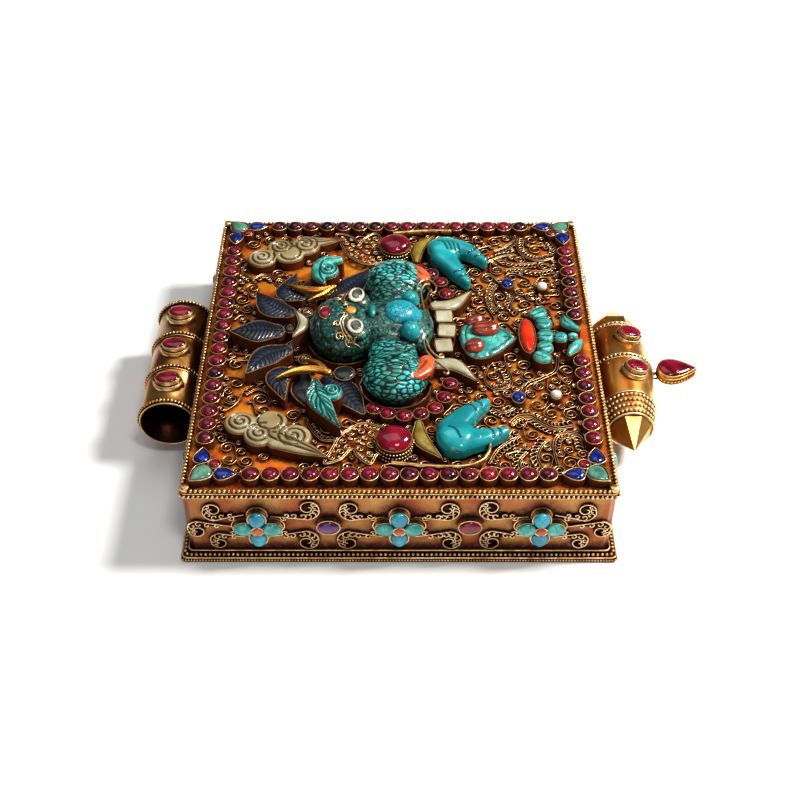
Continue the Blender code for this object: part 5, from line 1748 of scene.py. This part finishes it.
on_mask = landing(["mask_face", "mask_cheek_front", "mask_cheek_back", "mask_nose"])


def laid(line, lift):
    """A flat line lifted onto the mask."""
    return np.array([(x, y, on_mask(x, y) + lift) for x, y in np.asarray(line)[:, :2]])


brow_lines = []
for way in (-1, 1):
    brow_lines += [
        laid(scroll(-16.4, way * 8.9, 1.2, 1.3, way * 0.6, way), 0.3),
        laid(scroll(-13.9, way * 9.9, 0.9, 1.2, way * 1.2, -way), 0.3),
        laid(scroll(-16.9, way * 5.4, 1.1, 1.3, way * 2.8, -way), 0.3),
        laid(scroll(-14.9, way * 2.5, 0.9, 1.2, way * 4, -way), 0.3),
    ]
    for out in (0, 0.7):
        bow = [(-14.4, 2.6), (-15.4, 4.4), (-15, 7), (-14, 9), (-12.6, 10), (-10.8, 9.9)]
        bow = [(x - out, way * y) for x, y in bow]
        brow_lines.append(laid(curve_through(bow, 24), 0.25))
wires("mask_brows", brow_lines, 0.42, PALE_GOLD, 0.7)
moustache = (
    (31.2, 30.6, [(6.5, -6.6), (7.2, -10.9), (9.2, -14.4), (11.4, -17), (13, -18.7), (12.8, -20.2),
                  (11.8, -19.4)]),
    (31.2, 30.2, [(7.3, -6.8), (8.4, -10.6), (10.1, -13), (11.8, -13.4), (11.6, -11.8), (10.8, -12)]),
    (33.3, 33.4, [(5.7, 4.1), (5.1, 8.9), (4.9, 13.3), (6.3, 16.3), (8.5, 16.8), (10.3, 14.3), (10.1, 11.4),
                  (9.1, 11.1), (9, 12.4)]),
    (33.3, 33.4, [(6.8, 4.1), (6.3, 8.5), (6.2, 11.9), (7.2, 14.6), (8.6, 14.8)]),
)
moustache_lines = [
    np.column_stack([curve_through(path, 36), np.linspace(first_height, last_height, 36)])
    for first_height, last_height, path in moustache
]
wires("mask_moustache", moustache_lines, 0.55, PALE_GOLD, 0.8)
amber = solid("amber", surface(oval(-13.4, 0, 1.5, 1.6), 33.5, 36, 36.7, 12))
piece("mask_brow_stone", amber, AMBER)
mask_ovals = ((-15.3, 0, 10.2, 11.3), (-2.2, 0, 9.4, 9.2), (-1, -20, 9.3, 8.7), (-1, 20, 9.3, 8.7))
mask_edges = [outline(oval(*numbers, steps=44), 0.5, 0) for numbers in mask_ovals]
settings("mask_collet", mask_edges, face_z + 2.6, face_z + 2.7, 0.42, 0.3)
print("wires on the mask:", len(brow_lines) + len(moustache_lines))

# %% Dark stones beside the crown
for side, turn in SIDES:
    set_stone(f"ring_stone_{side}", turn(oval(-14.9, -15.9, 2.7, 2.6)), 3.6, 0.9, JET, foot=0.6)
    ribbed = turn(stroke([(-19.8, -17.6), (-14.6, -22.6), (-9.6, -30.4)], [3.4, 7.6, 1], 50))
    ribs = veins(ribbed, 15)
    set_stone(f"ribbed_leaf_{side}", ribbed, 2.6, 0.7, LEAF_LAPIS, cuts=ribs, cut=(0.2, 0.3))
    black = turn(stroke([(-25.8, -15.8), (-25.8, -21.6), (-22.2, -29.4)], [3, 5.8, 0.8], 40))
    set_stone(f"black_leaf_{side}", black, 2.4, 0.9, JET)
crown_discs = ((-30.6, 3.4, 1.9), (-29.4, -4.2, 1.9), (-26.6, 10.4, 1.7), (-26, -9.8, 1.6))
for number, (x, y, radius) in enumerate(crown_discs):
    set_stone(f"crown_disc_{number}", oval(x, y, radius, radius), 3, 0.7, JET)
    coil = level(scroll(x, y, radius * 0.7, 1.6, 1), seat_z + 2.95)
    wires(f"crown_disc_{number}_wire", [coil], 0.26)

# %% [markdown]
# ### Ribbons and wings
# A flat ribbon of gold stands on edge round each paw. Beside each great ruby lies a wing of filigree, made of
# double wire and filled with small rings.

# %% Ribbons
ribbon_path = [(-2, -49.2), (8, -50.4), (16, -50.4), (20.6, -48.6), (22.8, -45.2), (23.2, -41.8)]
ribbons = [curve_through([(x, y, 26.6) for x, y in ribbon_path], 40)]
ribbons.append(curve_through([(x, -y, 25.8) for x, y in ribbon_path[:3]], 20))
piece("paw_ribbons", grow("ribbons", ribbons, band_tree, BEADS, Width=0.7, Height=1.9), BEADS)
feet = [np.array([(x, y, face_z), (x, y, 26.4)]) for x, y in ribbon_path]
feet += [np.array([(x, -y, face_z), (x, -y, 25.4)]) for x, y in ribbon_path[:3]]
wires("paw_ribbon_feet", feet, 0.7, COLLET)
print("ribbons:", len(ribbons))

# %% [markdown]
# ## Filigree
# The ground between the stones carries coiled wire, except for patches towards the crown, which stay bare. It
# is laid by rule: circles are packed where the ground is bare, the largest first, and neighbours are joined
# by one wire that coils into both. Feathers, with a row of loops along a rib, are laid first, along given
# paths.


# %% Packing
def inside(points, edge):
    """Which of the points lie inside a closed outline, by counting how often a ray crosses it."""
    x, y = points[:, :1], points[:, 1:2]
    after = np.roll(edge, -1, axis=0)
    spans = (edge[:, 1] > y) != (after[:, 1] > y)
    rise = np.where(after[:, 1] == edge[:, 1], 1, after[:, 1] - edge[:, 1])
    reach = edge[:, 0] + (y - edge[:, 1]) / rise * (after[:, 0] - edge[:, 0])
    return (spans & (x < reach)).sum(axis=1) % 2 == 1


def packed(candidates, walls, radii, gap=0.08):
    """Circles that overlap neither the wall points nor each other, as rows of x, y and radius."""
    tree = tree_of(walls)
    room = np.array([tree.find((x, y, 0))[2] for x, y in candidates])
    circles = np.empty((0, 3))
    for radius in radii:
        for (x, y), free in zip(candidates, room, strict=True):
            if free < radius + gap:
                continue
            gaps = np.hypot(circles[:, 0] - x, circles[:, 1] - y) - circles[:, 2]
            if gaps.size == 0 or gaps.min() > radius + gap:
                circles = np.vstack([circles, (x, y, radius)])
    return circles


MATE_GAP = 0.7


def coiled(circles, chance):
    """Lines that coil into the circles, two circles to a line where they lie close."""
    lines, used = [], set()
    for index, (x, y, radius) in enumerate(circles):
        if index in used:
            continue
        used.add(index)
        gaps = np.hypot(circles[:, 0] - x, circles[:, 1] - y) - circles[:, 2] - radius
        mates = [mate for mate in np.argsort(gaps)[:8] if mate not in used and gaps[mate] < MATE_GAP]
        turns = chance.uniform(1.25, 1.75)
        hand = 1 if chance.random() < 0.5 else -1
        if not mates:
            lines.append(scroll(x, y, radius, turns + 0.4, chance.uniform(0, 6.28), hand, 0.22, 12))
            continue
        mate = mates[0]
        used.add(mate)
        other_x, other_y = circles[mate][:2]
        along = atan2(other_y - y, other_x - x)
        start = along - hand * pi / 2
        first = scroll(x, y, radius, turns, start, hand, 0.24, 12)
        other_turn = (start, -hand) if chance.random() < 0.6 else (start + pi, hand)
        second = scroll(*circles[mate], turns, *other_turn, 0.24, 12)
        lines.append(np.vstack([first, second[::-1]]))
    return lines


def feather(path, way, first, last, pitch=1.25, begin=0.0):
    """A double rib along a path, with loops on its left or right whose radius runs from first to last."""
    fine = curve_through(path, 60)
    side = sideways(directions(fine))
    lines = [fine[::2], (fine - side * way * 0.5)[::2]]
    lengths = np.concatenate([[0], np.cumsum(np.linalg.norm(np.diff(fine, axis=0), axis=1))])
    for spot in np.arange(begin + 0.4, lengths[-1] - 0.2, pitch):
        index = int(np.searchsorted(lengths, spot))
        radius = first + (last - first) * spot / lengths[-1]
        centre = fine[index] + side[index] * way * (radius + 0.16)
        back = fine[index] - centre
        lines.append(scroll(*centre, radius, 0.85, atan2(back[1], back[0]), way, 0.42, 9))
    return lines


# %% Bare ground
GRID = 0.55
reach_x, reach_y = 48.6, 51.4
bpy.context.view_layer.update()
graph = bpy.context.evaluated_depsgraph_get()
down = Vector((0, 0, -1))
taken = []
for x in np.arange(-reach_x, reach_x, GRID):
    for y in np.arange(-reach_y, reach_y, GRID):
        hit = bpy.context.scene.ray_cast(graph, Vector((x * MM, y * MM, 0.1)), down)
        if hit[1].z > (face_z + 0.1) * MM:
            taken.append((x, y))
border_x, border_y = 49.2, 52.0
round_ground = [(x * border_x, y * border_y) for x, y in ((-1, -1), (1, -1), (1, 1), (-1, 1), (-1, -1))]
taken += [tuple(point) for point in dense(round_ground, 0.5)]
print("grid points under stones:", len(taken))

# %% Feathers
feathers = [
    ([(28.8, -32.6), (31, -30), (34.6, -29.5), (37.4, -32), (41, -34.2), (46, -33.4)], 1, 0.6, 1.1, 5),
    ([(29.6, -33.8), (32, -31.4), (34.6, -30.8), (37, -33.2), (40.6, -35.4), (44, -35)], -1, 1, 0.8, 1),
    ([(40.4, -47.6), (40, -41.4), (41.4, -37.4), (44.4, -36.4), (46.8, -38), (47.4, -42.4)],
     -1, 0.7, 1.15, 5),
    ([(25, -9.8), (23.6, -13.6), (23.9, -17.6), (26.4, -19.6), (29.6, -18.4), (30.3, -15), (29, -10.4)],
     1, 0.7, 1.2, 9),
    ([(23, -47.4), (25.4, -42.6), (28.6, -39.6), (31.6, -37.6)], -1, 0.8, 1, 0.5),
    ([(29, 41.8), (32.2, 43.8), (35.2, 47.4), (34.6, 50.2)], -1, 0.8, 0.7, 0),
    ([(37, 49.6), (36.2, 43.4), (38.4, 39.2), (42.4, 37.4), (46.8, 38.8)], 1, 0.9, 1.3, 1),
    ([(46.8, 38.8), (47.6, 43), (46, 47.6)], 1, 1.2, 0.8, 0),
    ([(29.6, 38.6), (32.6, 36.2), (36.8, 35.4), (41.6, 36)], -1, 0.7, 1, 0),
    ([(28.6, 25.6), (27, 21.6), (26.8, 17.2), (28.2, 12.6)], -1, 1.1, 0.8, 0),
    ([(28.4, 25.8), (26.2, 21.6), (26, 17.2), (27.4, 12.6)], 1, 0.6, 0.6, 0),
    ([(36.2, -49.6), (35, -45.2), (36.4, -41), (38.6, -38.4)], 1, 0.8, 1, 0),
    ([(30.6, -50.4), (30.2, -46.6), (32.6, -43)], 1, 0.7, 0.9, 0),
    ([(24.4, -27.6), (27.6, -29), (30.8, -27), (32, -23.8)], -1, 0.7, 0.9, 0),
    ([(24.8, 34.8), (27.6, 37.6), (31.6, 39.8), (35.4, 40.4)], 1, 0.7, 0.9, 0),
    ([(31.8, 32.6), (36, 33.2), (40.6, 31.6), (46, 32.8)], -1, 0.7, 0.9, 0),
    ([(33.8, 12.4), (32, 16.2), (33, 20.6), (31.2, 24.4)], 1, 0.8, 0.9, 0),
    ([(-41.4, -21.6), (-38.2, -19.4), (-34.8, -21.6), (-34.2, -26)], 1, 0.7, 0.9, 0),
    ([(-47.4, 31.4), (-43.6, 28), (-40.4, 30.4), (-36.8, 27.6)], -1, 0.8, 0.8, 0),
    ([(-24.6, -30.6), (-22.4, -35.6), (-19.6, -38.8), (-16.4, -38.4), (-14.8, -35.4)], 1, 0.6, 0.7, 3),
]
laid_lines = []
for path, way, first, last, begin in feathers:
    laid_lines += feather(path, way, first, last, begin=begin)
laid_lines += [
    scroll(-18.6, -34.2, 2.9, 2.7, 2.2, 1, 0.1),
    scroll(-38, -15.9, 1.9, 2, 0.4, 1, 0.2),
    scroll(-44.8, -23.6, 2.1, 2.2, 3.6, -1, 0.2),
    scroll(37.4, -18.4, 1.7, 1.9, 1.2, 1, 0.2),
    scroll(38.6, 20.2, 1.9, 2, 2.4, -1, 0.2),
]
stems = (
    [(43.6, -6.6), (42.4, -12), (38.6, -14.8), (34.4, -17.2), (32.6, -20.4)],
    [(44.2, -6.6), (43, -12.4), (39, -15.5), (35, -18), (34, -20)],
    [(43, -12.4), (43.4, -15), (45.6, -17.6), (47, -16)],
    [(40.4, -15.4), (40, -19.6), (42, -21.4)],
    [(-46.4, -28.4), (-43.4, -25.4), (-42, -20.6)],
    [(-34.6, -2.4), (-38.4, -5.2), (-44.6, -5.4), (-47.2, -3.4)],
    [(-36.4, 6.6), (-41.4, 7.8), (-45, 11.4), (-47.2, 9.4)],
    [(44, 8), (43, 14), (39.4, 17)],
)
laid_lines += [curve_through(path, 24) for path in stems]
wing_corners = (
    (-4.4, -35.2), (-10, -34), (-15.2, -38.2), (-17.4, -43.4), (-19.2, -48.6), (-15, -47.4),
    (-12.2, -43.8), (-10.6, -46.4), (-7.4, -49), (-5.6, -45.6), (-4.4, -45.8),
)
wing_edge = curve_through(wing_corners, 90)
print("feathers:", len(feathers), "with", len(laid_lines), "lines")

# %% Coils between them
COIL_RADII = (2.1, 1.75, 1.45, 1.15, 0.9, 0.72)
PATCH_SCALE, PATCH_EDGE, PATCHY_END = 0.11, -0.06, -4
chance = np.random.default_rng(SEED)
spots_free = chance.uniform((-48.4, -51.2), (48.4, 51.2), (16000, 2))
walls = np.vstack([np.array(taken), *laid_lines, wing_edge, wing_edge * (1, -1)])
patches = np.array([noise_field(Vector((*(spot * PATCH_SCALE), SEED))) for spot in spots_free])
spots_free = spots_free[(spots_free[:, 0] > PATCHY_END) | (patches > PATCH_EDGE)]
circles = packed(spots_free, walls, COIL_RADII)
for edge in (wing_edge, wing_edge * (1, -1)):
    circles = circles[~inside(circles[:, :2], edge)]
laid_lines += coiled(circles, chance)
wing_lines = []
for flip in (1, -1):
    edge = wing_edge * (1, flip)
    picks = chance.uniform((-19.5, 33), (-4, 49.5), (5000, 2)) * (1, -flip)
    picks = picks[inside(picks, edge)]
    rings = packed(picks, edge, (1.1, 0.8, 0.6), 0.15)
    wing_lines += [edge, edge + sideways(directions(edge)) * 0.5]
    wing_lines += [scroll(x, y, radius, 1.5, x, flip, 0.25, 12) for x, y, radius in rings]
WING_LIFT = 1.9
wires("ruby_wings", [level(line, face_z + WING_LIFT) for line in wing_lines], 0.32, height=0.7)
wing_posts = [np.array([(*point, face_z), (*point, face_z + WING_LIFT)]) for point in wing_edge[::9]]
wing_posts += [post * (1, -1, 1) for post in wing_posts]
wires("ruby_wing_posts", wing_posts, 0.4)
quarters = {"left_front": [], "left_back": [], "right_front": [], "right_back": []}
for line in laid_lines:
    middle_x, middle_y = line.mean(axis=0)
    key = f"{'left' if middle_x < 0 else 'right'}_{'front' if middle_y < 0 else 'back'}"
    quarters[key].append(level(line, face_z + 0.42 + chance.uniform(0, 0.22)))
for key, lines in quarters.items():
    made = wires(f"filigree_{key}", lines, 0.22, height=0.8)
    print(made.name, "has", len(lines), "wires and", len(made.data.polygons), "faces")

# %% [markdown]
# ## The size
# The CAD model's box and the dressed model's box are both printed.

# %% Finish
visual_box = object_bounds()
boxes = {"cad": [list(corner) for corner in cad_box], "visual": [list(corner) for corner in visual_box]}
for label, (low, high) in boxes.items():
    print(label, [round((b - a) / MM, 1) for a, b in zip(low, high, strict=True)], "mm")
